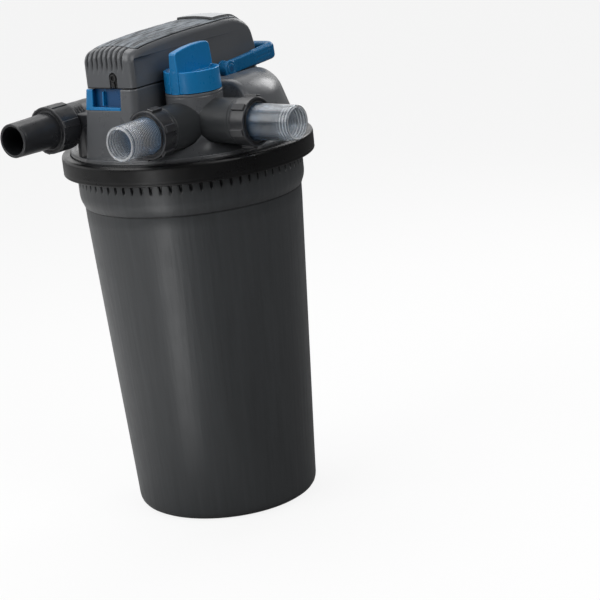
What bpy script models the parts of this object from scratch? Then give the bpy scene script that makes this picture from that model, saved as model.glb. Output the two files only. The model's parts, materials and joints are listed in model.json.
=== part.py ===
"""Pressurised pond filter: bucket container, clamped lid with an ultraviolet head,
three-way valve with two clear outlets, black inlet, and a lift handle that squeezes
the foam rings clean. Metres, +Z up, origin on the container's axis at the ground.
The front is -Y and the right is +X: one outlet and the inlet face front, one outlet right."""
from collections import namedtuple
from math import pi, sin, cos, radians

import bmesh
import bpy
import numpy as np
from mathutils import Matrix, Vector

for old in list(bpy.data.objects):
    bpy.data.objects.remove(old, do_unlink=True)

# ----------------------------------------------------------------- shared dimensions (m)
# A name ending in _Z, _R or _X that holds a pair gives (low, high) or (inner, outer).
GAP = 0.0003                      # assembly gap between neighbouring pieces

BUCKET_FLANGE_Z = (0.5370, 0.5450)
LID_FLANGE_Z = (0.5473, 0.5553)
FLANGE_R = 0.184                  # the container's and the lid's mating flanges

BLOCK_TOP_Z = 0.667               # base block under the head
BLOCK_FLOOR_Z = 0.564
HOOD_FRONT_Y = -0.153
HOOD_REAR_Y = 0.136

VALVE_X, VALVE_Y = 0.086, -0.072
PORT_Z = 0.6085                   # axis of both outlets
TOWER_R = 0.0415
STUB_R = 0.033
INLET_X, INLET_Z = -0.100, 0.612
INLET_NUT_Y = -0.155

NUT_R = 0.0350
OUTLET_NUT_AT = 0.087             # valve axis to the rear face of an outlet's nut
OUTLET_NUT_LEN = 0.025
THREAD_R = 0.0295

ROD_X, ROD_Y, ROD_R = 0.064, 0.034, 0.005
PIVOT_Z = 0.663
PRESS_PLATE_Z = (0.040, 0.048)

SIDES = (("left", -1), ("right", 1))

# ----------------------------------------------------------------- colours and finishes
BLACK = (0.012, 0.012, 0.013)
DARK = (0.030, 0.031, 0.033)
GREY = (0.16, 0.165, 0.175)
BLUE = (0.02, 0.13, 0.55)
CLEAR = (0.75, 0.85, 0.95)
STEEL = (0.62, 0.62, 0.62)
BALLAST_GREY = (0.6, 0.6, 0.6)
SOCKET_WHITE = (0.8, 0.8, 0.78)
LAMP_GLASS = (0.85, 0.9, 0.95)
FOAM_COLOURS = ((0.03, 0.10, 0.40), (0.10, 0.30, 0.12))

Finish = namedtuple("Finish", "colour roughness metallic alpha", defaults=(0.0, 1.0))
BARE_STEEL = Finish(STEEL, roughness=0.3, metallic=1.0)
SOFT_SEAL = Finish(BLACK, roughness=0.8)


def material(name, finish):
    mat = bpy.data.materials.new(name)
    mat.use_nodes = True
    inputs = mat.node_tree.nodes["Principled BSDF"].inputs
    inputs["Base Color"].default_value = (*finish.colour, 1.0)
    inputs["Roughness"].default_value = finish.roughness
    inputs["Metallic"].default_value = finish.metallic
    inputs["Alpha"].default_value = finish.alpha
    mat.diffuse_color = (*finish.colour, finish.alpha)
    return mat


# ----------------------------------------------------------------- helpers
# Every solid made without a finish is a hidden tool for a boolean.
PARTS = bpy.data.collections.new("pond_filter")
CUTTERS = bpy.data.collections.new("cutters")
bpy.context.scene.collection.children.link(PARTS)
bpy.context.scene.collection.children.link(CUTTERS)
IDENTITY = Matrix()


def add(name, mesh, matrix, finish):
    obj = bpy.data.objects.new(name, mesh)
    if finish is None:
        CUTTERS.objects.link(obj)
        obj.hide_render = True
        obj.display_type = "WIRE"
    else:
        PARTS.objects.link(obj)
        mesh.materials.clear()
        mesh.materials.append(material("mat_" + name, finish))
    obj.matrix_world = matrix
    return obj


def write_mesh(bm, mesh):
    """Write and free the bmesh; shade smooth with sharp creases."""
    bm.to_mesh(mesh)
    bm.free()
    mesh.shade_smooth()
    mesh.set_sharp_from_angle(angle=radians(35))


def turned(name, profile, seg=48, closed=False, matrix=IDENTITY, finish=None):
    """Turn (r, z) points, the outer side running down; closed profiles loop back."""
    mesh = bpy.data.meshes.new(name)
    edges = [(i, i + 1) for i in range(len(profile) - 1)]
    if closed:
        edges.append((len(profile) - 1, 0))
    mesh.from_pydata([(r, 0.0, z) for r, z in profile], edges, [])
    obj = add(name, mesh, matrix, finish)
    screw = obj.modifiers.new("turn", "SCREW")
    screw.axis = "Z"
    screw.angle = 2 * pi
    screw.steps = seg
    screw.render_steps = seg
    screw.use_merge_vertices = True
    screw.merge_threshold = 0.00001
    screw.use_smooth_shade = True
    return obj


def washer(name, radii, heights, **options):
    """Turned ring of rectangular section, from (inner, outer) and (low, high)."""
    inner, outer = radii
    low, high = heights
    profile = [(outer, high), (outer, low), (inner, low), (inner, high)]
    return turned(name, profile, closed=True, **options)


def cylinder(name, radius, z0, z1, seg=32, matrix=IDENTITY, finish=None):
    mesh = bpy.data.meshes.new(name)
    bm = bmesh.new()
    bmesh.ops.create_cone(
        bm, cap_ends=True, cap_tris=False, segments=seg, radius1=radius, radius2=radius,
        depth=z1 - z0, matrix=Matrix.Translation((0, 0, (z0 + z1) / 2)))
    write_mesh(bm, mesh)
    return add(name, mesh, matrix, finish)


def box(name, corner, opposite, matrix=IDENTITY, bevel=0.0, finish=None):
    """Box between two opposite corners; bevel is the width of its edges' chamfer."""
    spans = [sorted(pair) for pair in zip(corner, opposite)]
    mesh = bpy.data.meshes.new(name)
    bm = bmesh.new()
    bmesh.ops.create_cube(bm, size=1.0)
    for vert in bm.verts:
        vert.co = Vector([low + (high - low) * (unit + 0.5)
                          for (low, high), unit in zip(spans, vert.co)])
    if bevel:
        bmesh.ops.bevel(bm, geom=list(bm.edges), offset=bevel, segments=1,
                        profile=0.5, affect="EDGES")
    write_mesh(bm, mesh)
    return add(name, mesh, matrix, finish)


def poly_spline(curve, points):
    spline = curve.splines.new("POLY")
    spline.points.add(len(points) - 1)
    for target, point in zip(spline.points, points):
        target.co = (*point, 1.0)
    return spline


def curve_to_mesh(name, curve, matrix, finish):
    temp = bpy.data.objects.new(name + "_tmp", curve)
    bpy.context.scene.collection.objects.link(temp)
    bpy.context.view_layer.update()
    depsgraph = bpy.context.evaluated_depsgraph_get()
    mesh = bpy.data.meshes.new_from_object(temp.evaluated_get(depsgraph))
    bpy.data.objects.remove(temp, do_unlink=True)
    bm = bmesh.new()
    bm.from_mesh(mesh)
    bmesh.ops.remove_doubles(bm, verts=bm.verts, dist=0.00002)
    bmesh.ops.recalc_face_normals(bm, faces=bm.faces)
    mesh.name = name
    write_mesh(bm, mesh)
    return add(name, mesh, matrix, finish)


def outline(name, points, thickness, matrix=IDENTITY, finish=None):
    """A flat closed outline in the local XY plane, thickened about z = 0."""
    curve = bpy.data.curves.new(name + "_outline", "CURVE")
    curve.dimensions = "2D"
    curve.fill_mode = "BOTH"
    curve.extrude = thickness / 2
    poly_spline(curve, [(x, y, 0.0) for x, y in points]).use_cyclic_u = True
    return curve_to_mesh(name, curve, matrix, finish)


def tube_path(name, points, radius, finish):
    """Round bar with capped ends along a path."""
    curve = bpy.data.curves.new(name + "_path", "CURVE")
    curve.dimensions = "3D"
    curve.bevel_depth = radius
    curve.bevel_resolution = 2
    curve.use_fill_caps = True
    poly_spline(curve, points)
    return curve_to_mesh(name, curve, IDENTITY, finish)


def boolean(obj, other, operation):
    modifier = obj.modifiers.new(operation.lower() + "_" + other.name, "BOOLEAN")
    modifier.operation = operation
    modifier.object = other
    modifier.solver = "EXACT"


def cut(obj, tool):
    boolean(obj, tool, "DIFFERENCE")


def join(obj, tool):
    boolean(obj, tool, "UNION")


def at(x, y, z=0.0):
    return Matrix.Translation((x, y, z))


def along(x, y, z, direction):
    """Frame whose local +Z points along a world direction, at a world point."""
    turn = Vector(direction).to_track_quat("Z", "Y")
    return at(x, y, z) @ turn.to_matrix().to_4x4()


def arc(cx, cy, radius, start, end, steps):
    angles = [start + (end - start) * i / steps for i in range(steps + 1)]
    return [(cx + radius * cos(a), cy + radius * sin(a)) for a in angles]


def tapered_block(name, z_low, z_top=BLOCK_TOP_Z, grow=0.0, finish=None):
    """Base block under the head: sides and front lean out towards the floor."""
    def section(z):
        lean = (BLOCK_TOP_Z - z) / (BLOCK_TOP_Z - BLOCK_FLOOR_Z)
        return (-0.0490 - 0.0060 * lean - grow, 0.0440 + 0.0030 * lean + grow,
                HOOD_FRONT_Y - 0.013 * lean - grow, HOOD_REAR_Y + grow)

    mesh = bpy.data.meshes.new(name)
    bm = bmesh.new()
    bmesh.ops.create_cube(bm, size=1.0)
    for vert in bm.verts:
        z = z_top if vert.co.z > 0 else z_low
        left, right, front, rear = section(z)
        vert.co = Vector((left if vert.co.x < 0 else right,
                          front if vert.co.y < 0 else rear, z))
    uprights = [edge for edge in bm.edges
                if abs(edge.verts[0].co.z - edge.verts[1].co.z) > 0.02]
    bmesh.ops.bevel(bm, geom=uprights, offset=0.007, segments=3, profile=0.5,
                    affect="EDGES")
    write_mesh(bm, mesh)
    return add(name, mesh, IDENTITY, finish)


# ----------------------------------------------------------------- working frames
VALVE = at(VALVE_X, VALVE_Y)
FRONT = along(VALVE_X, VALVE_Y, PORT_Z, (0, -1, 0))
RIGHT = along(VALVE_X, VALVE_Y, PORT_Z, (1, 0, 0))
INLET = along(INLET_X, INLET_NUT_Y, INLET_Z, (0, -1, 0))
OUTLETS = (("front", FRONT), ("right", RIGHT))

# ----------------------------------------------------------------- container
BUCKET_BASE_R = 0.139
BUCKET_TOP_R = 0.165
BUCKET_STEP_Z = 0.480             # where the wall widens into the collar
BUCKET_WALL = 0.004
COLLAR_R = 0.1705

# (r, z): up the inside from the floor, over the flange, down the outside
CONTAINER_PROFILE = [
    (0.0, 0.006), (0.128, 0.006), (BUCKET_BASE_R - BUCKET_WALL + 0.0004, 0.016),
    (BUCKET_TOP_R - BUCKET_WALL, BUCKET_STEP_Z), (0.1648, 0.492), (0.1648, 0.5325),
    (0.1645, BUCKET_FLANGE_Z[1]), (FLANGE_R, BUCKET_FLANGE_Z[1]),
    (FLANGE_R, BUCKET_FLANGE_Z[0]), (COLLAR_R, BUCKET_FLANGE_Z[0]),
    (COLLAR_R, 0.497), (0.1683, 0.486), (BUCKET_TOP_R, BUCKET_STEP_Z),
    (BUCKET_BASE_R, 0.012), (BUCKET_BASE_R - 0.004, 0.0035),
    (BUCKET_BASE_R - 0.012, 0.0), (0.0, 0.0),
]


def build_container():
    turned("container", CONTAINER_PROFILE, finish=Finish(BLACK, roughness=0.45))


# ----------------------------------------------------------------- clamp ring and its closure
RING_R = 0.190
RING_Z = (0.531, 0.561)
RING_SPLIT = radians(131)         # the closure is at the rear left, away from the ports
CLOSURE = Matrix.Rotation(RING_SPLIT, 4, "Z")
LUG_R = (0.1875, 0.2125)
LUG_FACES = (0.0035, 0.0115)      # distance of a lug's faces from the split plane
LUG_Z = (0.5360, 0.5560)
SPLIT_HALF = 0.003
BOLT_R = 0.0035
BOLT_AT = 0.2045                  # container axis to bolt axis
BOLT_FRAME = CLOSURE @ along(BOLT_AT, 0, 0.546, (0, 1, 0))

# (r, z): channel section that grips both flanges
CLAMP_RING_PROFILE = [
    (RING_R, 0.5570), (RING_R, RING_Z[0]), (0.1735, RING_Z[0]),
    (0.1735, 0.5365), (0.1857, 0.5365), (0.1857, 0.5557), (0.1760, 0.5557),
    (0.1760, 0.5600), (0.1775, RING_Z[1]), (0.1865, RING_Z[1]),
]


def build_clamp_ring():
    ring = turned("clamp_ring", CLAMP_RING_PROFILE, closed=True,
                  finish=Finish(BLACK, roughness=0.35))
    for letter, side in (("a", -1), ("b", 1)):
        join(ring, box("lug_" + letter, (LUG_R[0], side * LUG_FACES[0], LUG_Z[0]),
                       (LUG_R[1], side * LUG_FACES[1], LUG_Z[1]), matrix=CLOSURE))
    cut(ring, box("ring_split", (0.165, -SPLIT_HALF, 0.52), (0.215, SPLIT_HALF, 0.57),
                  matrix=CLOSURE))
    cut(ring, cylinder("bolt_hole", BOLT_R + 0.0005, -0.02, 0.02, seg=16,
                       matrix=BOLT_FRAME))


def build_clamp_bolt():
    """Bolt and its hand knob, on opposite sides of the split."""
    bolt_profile = [(0.0, 0.0290), (BOLT_R, 0.0290), (BOLT_R, -0.0118),
                    (0.0062, -0.0118), (0.0062, -0.0165), (0.0, -0.0165)]
    turned("clamp_bolt", bolt_profile, seg=12, matrix=BOLT_FRAME, finish=BARE_STEEL)
    knob_profile = [(0.0110, 0.0260), (0.0135, 0.0245), (0.0135, 0.0145),
                    (0.0090, 0.0119), (0.0040, 0.0119), (0.0040, 0.0260)]
    turned("clamp_hand_knob", knob_profile, seg=16, closed=True, matrix=BOLT_FRAME,
           finish=Finish(BLACK, roughness=0.5))


# ----------------------------------------------------------------- lid
LID_EDGE_R = 0.1754
SLEEVE_POCKET_Z = 0.6550
# (r, z) tops of the low front part and of the raised rear dome, from the axis outwards
LOW = [(0.0, 0.606), (0.060, 0.605), (0.100, 0.597), (0.130, 0.587),
       (0.155, 0.574), (0.1700, 0.5650), (LID_EDGE_R, 0.5630)]
DOME = [(0.0, 0.6575), (0.108, 0.6575), (0.124, 0.6560), (0.132, 0.6515),
        (0.141, 0.6435), (0.148, 0.6310), (0.153, 0.6180), (0.158, 0.6055),
        (0.165, 0.5850), (0.1700, 0.5650)]
# (r, z) tops and sides of the hollows under them
LOW_CAVITY = [(0.0, 0.5960), (0.060, 0.5950), (0.100, 0.5870), (0.124, 0.5640),
              (0.150, 0.5540), (0.157, 0.5380), (0.0, 0.5380)]
DOME_CAVITY = [(0.0, 0.6260), (0.132, 0.6260), (0.142, 0.6120), (0.152, 0.5860),
               (0.1565, 0.5540), (0.1565, 0.5500), (0.0, 0.5500)]


def lid_shell():
    rim = [(LID_EDGE_R, LID_FLANGE_Z[1]), (FLANGE_R, LID_FLANGE_Z[1]),
           (FLANGE_R, LID_FLANGE_Z[0]), (0.1625, LID_FLANGE_Z[0]),
           (0.1625, 0.5410), (0.0, 0.5410)]
    lid = turned("lid", LOW + rim, seg=40, finish=Finish(GREY, roughness=0.55))
    dome = turned("dome_body", DOME + [(0.1700, 0.556), (0.0, 0.556)], seg=40)
    cut(dome, box("dome_front_cut", (-0.25, -0.25, 0.50), (0.25, -0.020, 0.70)))
    join(lid, dome)
    join(lid, tapered_block("base_block", z_low=0.5600))
    join(lid, cylinder("valve_boss", 0.044, 0.5600, 0.5980, seg=40, matrix=VALVE))
    return lid


def hollow_lid(lid):
    cut(lid, turned("low_cavity", LOW_CAVITY, seg=32))
    dome_cavity = turned("dome_cavity", DOME_CAVITY, seg=32)
    cut(dome_cavity, box("dome_cavity_front", (-0.25, -0.25, 0.50), (0.25, -0.015, 0.70)))
    cut(lid, dome_cavity)
    cut(lid, box("block_cavity", (-0.0400, -0.1330, 0.5450), (0.0380, 0.1280, 0.6450)))


def cut_block_pockets(lid):
    """Latch pocket, open at the front, the left and the top; sleeve bore and pocket."""
    cut(lid, box("latch_pocket", (-0.0800, -0.2000, 0.6366), (0.0184, -0.1396, 0.7000)))
    cut(lid, cylinder("sleeve_bore", 0.0246, 0.60, 0.68))
    cut(lid, cylinder("sleeve_pocket", 0.0345, SLEEVE_POCKET_Z, 0.68))


def cut_valve_seat(lid):
    """Room and bore for the valve, and troughs under the two outlets."""
    cut(lid, cylinder("tower_room", TOWER_R + 0.0007, 0.5980, 0.69, seg=48, matrix=VALVE))
    cut(lid, cylinder("valve_bore", 0.0340, 0.53, 0.61, matrix=VALVE))
    for port, frame in OUTLETS:
        cut(lid, cylinder("trough_" + port, STUB_R + 0.0006, 0.010, 0.130, matrix=frame))


def cut_handle_channels(lid):
    """Channels for the handle's arms, with the pull rods' bores and seal pockets."""
    ramp_frame = at(0, 0.050, 0.6400) @ Matrix.Rotation(radians(5.5), 4, "X")
    bore_r = ROD_R + 0.0004
    bore_profile = [(0.0, 0.70), (0.0095, 0.70), (0.0095, 0.6340), (bore_r, 0.6340),
                    (bore_r, 0.53), (0.0, 0.53)]
    for hand, side in SIDES:
        inner, outer = side * 0.0478, side * 0.0800
        channel = box("arm_channel_" + hand, (inner, 0.008, 0.6400),
                      (outer, 0.055, 0.7000))
        join(channel, box("arm_ramp_" + hand, (inner, 0.0, 0.0), (outer, 0.150, 0.055),
                          matrix=ramp_frame))
        cut(lid, channel)
        cut(lid, turned("rod_bore_" + hand, bore_profile, seg=20,
                        matrix=at(side * ROD_X, ROD_Y)))


def build_lid():
    lid = lid_shell()
    hollow_lid(lid)
    cut_block_pockets(lid)
    cut_valve_seat(lid)
    cut_handle_channels(lid)
    washer("lid_seal", (0.1665, 0.1825), (BUCKET_FLANGE_Z[1] + GAP, LID_FLANGE_Z[0] - GAP),
           seg=32, finish=SOFT_SEAL)


# ----------------------------------------------------------------- hose unions
FRONT_MOUTH_Y = -0.242
RIGHT_MOUTH_X = 0.268
INLET_MOUTH_Y = -0.263
INLET_NUT_LEN = 0.036
OUTLET_LUG_REACH = 0.0380         # nut axis to the outer face of a lug
INLET_LUG_REACH = NUT_R + 0.0010
TAIL_BORE_R = 0.0210
TAIL_MOUTH_R = 0.0250
TAIL_FLANGE_R = THREAD_R - GAP


def union_nut(name, frame, start, length, lug_reach):
    """Lugged nut: threaded bore behind, a lip in front that holds the tail's flange."""
    face = start + length
    bore_r = THREAD_R + 0.0005
    profile = [
        (NUT_R - 0.0015, face), (NUT_R, face - 0.0015), (NUT_R, start + 0.0015),
        (NUT_R - 0.0015, start), (bore_r, start), (bore_r, face - 0.0062),
        (0.0273, face - 0.0062), (0.0273, face)]
    nut = turned(name, profile, seg=30, closed=True, matrix=frame,
                 finish=Finish(BLACK, roughness=0.4))
    for i in range(3):            # each bar makes two opposite lugs
        lug = box("%s_lug_%d" % (name, i), (-lug_reach, -0.0055, start + 0.0015),
                  (lug_reach, 0.0055, face - 0.0015),
                  matrix=frame @ Matrix.Rotation(pi / 12 + pi / 3 * i, 4, "Z"))
        cut(lug, cylinder("%s_lug_bore_%d" % (name, i), NUT_R - 0.0020, start - 0.01,
                          face + 0.01, seg=30, matrix=frame))
        join(nut, lug)


def hose_tail(name, frame, face, mouth, finish):
    """Flanged tail; face is the nut's front face and mouth the tail's free end."""
    profile = [
        (TAIL_MOUTH_R - 0.0008, mouth), (TAIL_MOUTH_R, mouth - 0.002),
        (0.0258, (face + mouth) / 2), (0.0268, face - 0.0065),
        (TAIL_FLANGE_R, face - 0.0065), (TAIL_FLANGE_R, face - 0.0105),
        (TAIL_BORE_R, face - 0.0105), (TAIL_BORE_R, mouth)]
    turned(name, profile, seg=24, closed=True, matrix=frame, finish=finish)


def build_union(name, frame, start, length, mouth, lug_reach, tail_finish):
    face = start + length
    union_nut(name + "_nut", frame, start, length, lug_reach)
    hose_tail(name + "_tail", frame, face, mouth, tail_finish)
    washer(name + "_seal", (TAIL_BORE_R, TAIL_FLANGE_R), (face - 0.0132, face - 0.0108),
           seg=16, matrix=frame, finish=Finish(BLACK, roughness=0.85))


def build_unions():
    mouths = (VALVE_Y - FRONT_MOUTH_Y, RIGHT_MOUTH_X - VALVE_X)
    for (port, frame), mouth in zip(OUTLETS, mouths):
        build_union(port + "_outlet", frame, OUTLET_NUT_AT, OUTLET_NUT_LEN, mouth,
                    OUTLET_LUG_REACH, Finish(CLEAR, roughness=0.1, alpha=0.4))
    build_union("inlet", INLET, 0.0, INLET_NUT_LEN, INLET_NUT_Y - INLET_MOUTH_Y,
                INLET_LUG_REACH, Finish(BLACK, roughness=0.45))


# ----------------------------------------------------------------- valve
TOWER_TOP_Z = 0.6520
STUB_END = OUTLET_NUT_AT - 0.0010
THREAD_END = OUTLET_NUT_AT + OUTLET_NUT_LEN - 0.0135
KNOB_R = 0.0415
KNOB_Z = (0.6530, 0.6840)
KNOB_FIN_Z = 0.7185
# grip fin in the plane through the knob's axis: (y from the axis, z), its pointer
# end at the front
FIN = [(-0.0420, 0.6532), (0.0408, 0.6532), (0.0408, 0.7060), (0.0385, 0.7125),
       (0.0340, 0.7165), (0.0280, KNOB_FIN_Z), (-0.0280, KNOB_FIN_Z),
       (-0.0335, 0.7165), (-0.0372, 0.7125), (-0.0388, 0.7060)]


def build_valve_body():
    tower = [(0.0, TOWER_TOP_Z), (TOWER_R - 0.002, TOWER_TOP_Z),
             (TOWER_R, TOWER_TOP_Z - 0.002), (TOWER_R, 0.5983),
             (0.0336, 0.5983), (0.0336, 0.5770), (0.0, 0.5770)]
    stub = [(0.0, THREAD_END), (THREAD_R, THREAD_END), (THREAD_R, STUB_END),
            (STUB_R, STUB_END), (STUB_R, 0.020), (0.0, 0.020)]
    room = [(0.0, 0.6445), (0.0300, 0.6445), (0.0300, 0.5830), (0.0220, 0.5830),
            (0.0220, 0.5600), (0.0, 0.5600)]
    body = turned("valve_body", tower, seg=32, matrix=VALVE,
                  finish=Finish(GREY, roughness=0.5))
    for port, frame in OUTLETS:
        join(body, turned("stub_" + port, stub, seg=24, matrix=frame))
    cut(body, turned("rotor_room", room, seg=24, matrix=VALVE))
    cut(body, cylinder("stem_hole", 0.0105, 0.63, 0.67, seg=20, matrix=VALVE))
    for port, frame in OUTLETS:
        cut(body, cylinder("port_bore_" + port, 0.0205, 0.012, 0.130, seg=16,
                           matrix=frame))


def build_valve_rotor():
    """Rotor and stem in one, opening below and to the front; seal round the stem."""
    profile = [(0.0, 0.6720), (0.0070, 0.6720), (0.0070, 0.6438),
               (0.0292, 0.6438), (0.0292, 0.5835), (0.0, 0.5835)]
    rotor = turned("valve_rotor", profile, seg=20, matrix=VALVE,
                   finish=Finish(BLACK, roughness=0.5))
    cut(rotor, cylinder("rotor_inlet", 0.0170, 0.57, PORT_Z, seg=20, matrix=VALVE))
    cut(rotor, cylinder("rotor_outlet", 0.0190, -0.002, 0.06, seg=20, matrix=FRONT))
    washer("valve_stem_seal", (0.0073, 0.0102), (0.6460, 0.6515), seg=20, matrix=VALVE,
           finish=SOFT_SEAL)


def build_valve_knob():
    low, high = KNOB_Z
    profile = [(0.0, 0.6800), (0.0300, 0.6810), (KNOB_R - 0.0032, high),
               (KNOB_R - 0.0012, high - 0.0020), (KNOB_R, low + 0.001),
               (KNOB_R - 0.001, low), (0.0130, low), (0.0130, 0.6610), (0.0, 0.6610)]
    knob = turned("valve_knob", profile, seg=32, matrix=VALVE,
                  finish=Finish(BLUE, roughness=0.35))
    upright = Matrix.Rotation(pi / 2, 4, "Z") @ Matrix.Rotation(pi / 2, 4, "X")
    fin = outline("knob_fin", FIN, 0.0145, matrix=VALVE @ upright)
    cut(fin, cylinder("fin_foot", 0.0135, 0.6400, 0.6611, seg=24, matrix=VALVE))
    join(knob, fin)
    cut(knob, cylinder("stem_socket", 0.0073, 0.6400, 0.6725, seg=20, matrix=VALVE))


# ----------------------------------------------------------------- inlet elbow
# (r, z) along the inlet's axis, z from the nut's rear face towards the front
ELBOW_PROFILE = [(0.0, 0.0220), (THREAD_R, 0.0220), (THREAD_R, -0.0020),
                 (0.0302, -0.0020), (0.0302, -0.0900), (0.0240, -0.1000),
                 (0.0, -0.1030)]


def build_inlet_elbow():
    elbow = turned("inlet_elbow", ELBOW_PROFILE, seg=32, matrix=INLET,
                   finish=Finish(BLACK, roughness=0.4))
    join(elbow, cylinder("elbow_side", 0.0290, 0.0, 0.060, seg=28,
                         matrix=along(INLET_X, -0.108, INLET_Z, (1, 0, 0))))
    join(elbow, box("elbow_web", (-0.0740, -0.1545, 0.5500), (-0.0440, -0.0720, 0.6300),
                    bevel=0.003))
    # trim to stand just clear of the base block and the lid
    cut(elbow, tapered_block("block_clearance", z_low=0.5400, z_top=0.70, grow=GAP))
    clearance = [(0.0, LOW[0][1] + 0.0004)]
    clearance += [(r + 0.0004, z + 0.0006) for r, z in LOW[1:]]
    clearance += [(0.1765, 0.5616), (0.1950, 0.5616), (0.1950, 0.50), (0.0, 0.50)]
    cut(elbow, turned("lid_clearance", clearance))
    cut(elbow, cylinder("elbow_bore", 0.0210, -0.078, 0.060, seg=24, matrix=INLET))


# ----------------------------------------------------------------- hood
HOOD_HALF_X = 0.0465
HOOD_MID_X = -0.0015              # the hood stands a little off the middle
HOOD_LOW_Z = BLOCK_TOP_Z + GAP
ROOF_DROP = 0.0070                # the roof's crown above its long edges, at the front
ROOF_DROP_LOSS = 0.0035           # how much of that drop is lost towards the rear
ROOF_LOSS_LENGTH = 0.25           # distance behind the front over which it is lost
HOOD_WALL = 0.003
SIDE_PANEL_X = {"left": -0.0450, "right": 0.0420}   # faces of the recessed side panels
# (y, z) heights of the roof's crown, and the y places where the outline follows it
CROWN = [(-0.125, 0.7280), (-0.080, 0.7325), (-0.034, 0.7360), (0.030, 0.7393),
         (0.071, 0.7395), (0.095, 0.7360), (0.110, 0.7295)]
ROOF_Y = (-0.120, -0.080, -0.034, 0.030, 0.071, 0.095, 0.110)


def hood_side(inset, z_low):
    """Side view of the hood as (y, z) points, from the front foot over the roof."""
    front, rear = HOOD_FRONT_Y + inset, HOOD_REAR_Y - inset
    crown_y, crown_z = zip(*CROWN)
    side = [(front, z_low), (front, 0.7120 - inset), (front + 0.004, 0.7210 - inset),
            (front + 0.012, 0.7270 - inset)]
    side += [(y, float(np.interp(y, crown_y, crown_z)) - inset) for y in ROOF_Y]
    side += [(0.1200, 0.7195 - inset), (0.1280 - inset * 0.7, 0.7080 - inset * 0.6),
             (0.1330 - inset, 0.6930), (rear, 0.6800), (rear, z_low)]
    return side


def hood_solid(name, inset, z_low, finish=None):
    """Side view thickened across the hood, its roof cambered and its edges rounded.
    Local x, y, z are world y, z, x."""
    turn = Matrix(((0, 0, 1, HOOD_MID_X), (1, 0, 0, 0), (0, 1, 0, 0), (0, 0, 0, 1)))
    half = HOOD_HALF_X - 2 * inset
    obj = outline(name, hood_side(inset, z_low), 2 * half, matrix=turn, finish=finish)
    bm = bmesh.new()
    bm.from_mesh(obj.data)
    # lengthwise cuts give the camber something to bend
    for share in (-0.62, -0.25, 0.25, 0.62):
        bmesh.ops.bisect_plane(bm, geom=list(bm.verts) + list(bm.edges) + list(bm.faces),
                               dist=1e-6, plane_co=(0, 0, share * half),
                               plane_no=(0, 0, 1))
    for vert in bm.verts:
        if vert.co.y > 0.705 - inset:
            rearward = (vert.co.x - HOOD_FRONT_Y) / ROOF_LOSS_LENGTH
            rearward = min(max(rearward, 0.0), 1.0)
            drop = ROOF_DROP - ROOF_DROP_LOSS * rearward
            vert.co.y -= drop * (vert.co.z / half) ** 2

    def is_rim(edge):
        """On the outline of a side face, off the foot, and a real corner."""
        a, b = (vert.co for vert in edge.verts)
        if abs(abs(a.z) - half) > 1e-5 or abs(abs(b.z) - half) > 1e-5:
            return False
        if abs(a.z - b.z) > 1e-5 or (a.y < z_low + 1e-5 and b.y < z_low + 1e-5):
            return False
        return len(edge.link_faces) == 2 and edge.calc_face_angle() > radians(40)

    bmesh.ops.bevel(bm, geom=[edge for edge in bm.edges if is_rim(edge)],
                    offset=0.0090 - inset, segments=3, profile=0.5, affect="EDGES",
                    clamp_overlap=True)
    write_mesh(bm, obj.data)
    return obj


def build_hood():
    hood = hood_solid("hood", 0.0, HOOD_LOW_Z, finish=Finish(DARK, roughness=0.45))
    for hand, side in SIDES:
        cut(hood, box("side_panel_" + hand, (SIDE_PANEL_X[hand], -0.1360, 0.6600),
                      (side * 0.060, 0.1240, 0.7080)))
    cut(hood, hood_solid("hood_room", HOOD_WALL, HOOD_LOW_Z - 0.0100))
    cut(hood, box("cable_slot", (-0.0010, -0.170, 0.6600), (0.0150, -0.1450, 0.6910)))
    box("cable_grommet", (-0.0006, -0.1560, 0.6680), (0.0146, -0.1502, 0.6906),
        finish=Finish(BLACK, roughness=0.7))


# ----------------------------------------------------------------- inside the head
PLATE_X = 0.0380                  # half width of the head's base plate
PLATE_Y = (-0.1490, 0.1315)
PLATE_CORNER_R = 0.0075
ON_PLATE_Z = 0.6713               # underside of what stands on the plate
LAMP_LEG_X = 0.0090
LAMP_BEND_Z = 0.4200
LAMP_TOP_Z = 0.6297
LAMP_TUBE_R = 0.0060
# (r, z): up the inside, over the flange, down the outside to the closed end
SLEEVE_PROFILE = [
    (0.0, 0.3785), (0.0095, 0.3795), (0.0175, 0.3830), (0.0215, 0.3900),
    (0.0215, 0.6585), (0.0300, 0.6585), (0.0300, 0.6553), (0.0240, 0.6553),
    (0.0240, 0.3900), (0.0190, 0.3810), (0.0100, 0.3770), (0.0, 0.3760),
]


def build_base_plate():
    x, radius = PLATE_X - PLATE_CORNER_R, PLATE_CORNER_R
    front, rear = PLATE_Y[0] + radius, PLATE_Y[1] - radius
    points = (arc(x, front, radius, -pi / 2, 0, 3) + arc(x, rear, radius, 0, pi / 2, 3)
              + arc(-x, rear, radius, pi / 2, pi, 3)
              + arc(-x, front, radius, pi, 1.5 * pi, 3))
    plate = outline("head_base_plate", points, 0.003, matrix=at(0, 0, 0.6695),
                    finish=Finish(DARK, roughness=0.5))
    cut(plate, cylinder("plate_hole", 0.0190, 0.65, 0.68, seg=24))
    box("ballast", (-0.0300, -0.1250, ON_PLATE_Z), (0.0300, -0.0350, 0.7050),
        bevel=0.003, finish=Finish(BALLAST_GREY, roughness=0.5))


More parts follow.
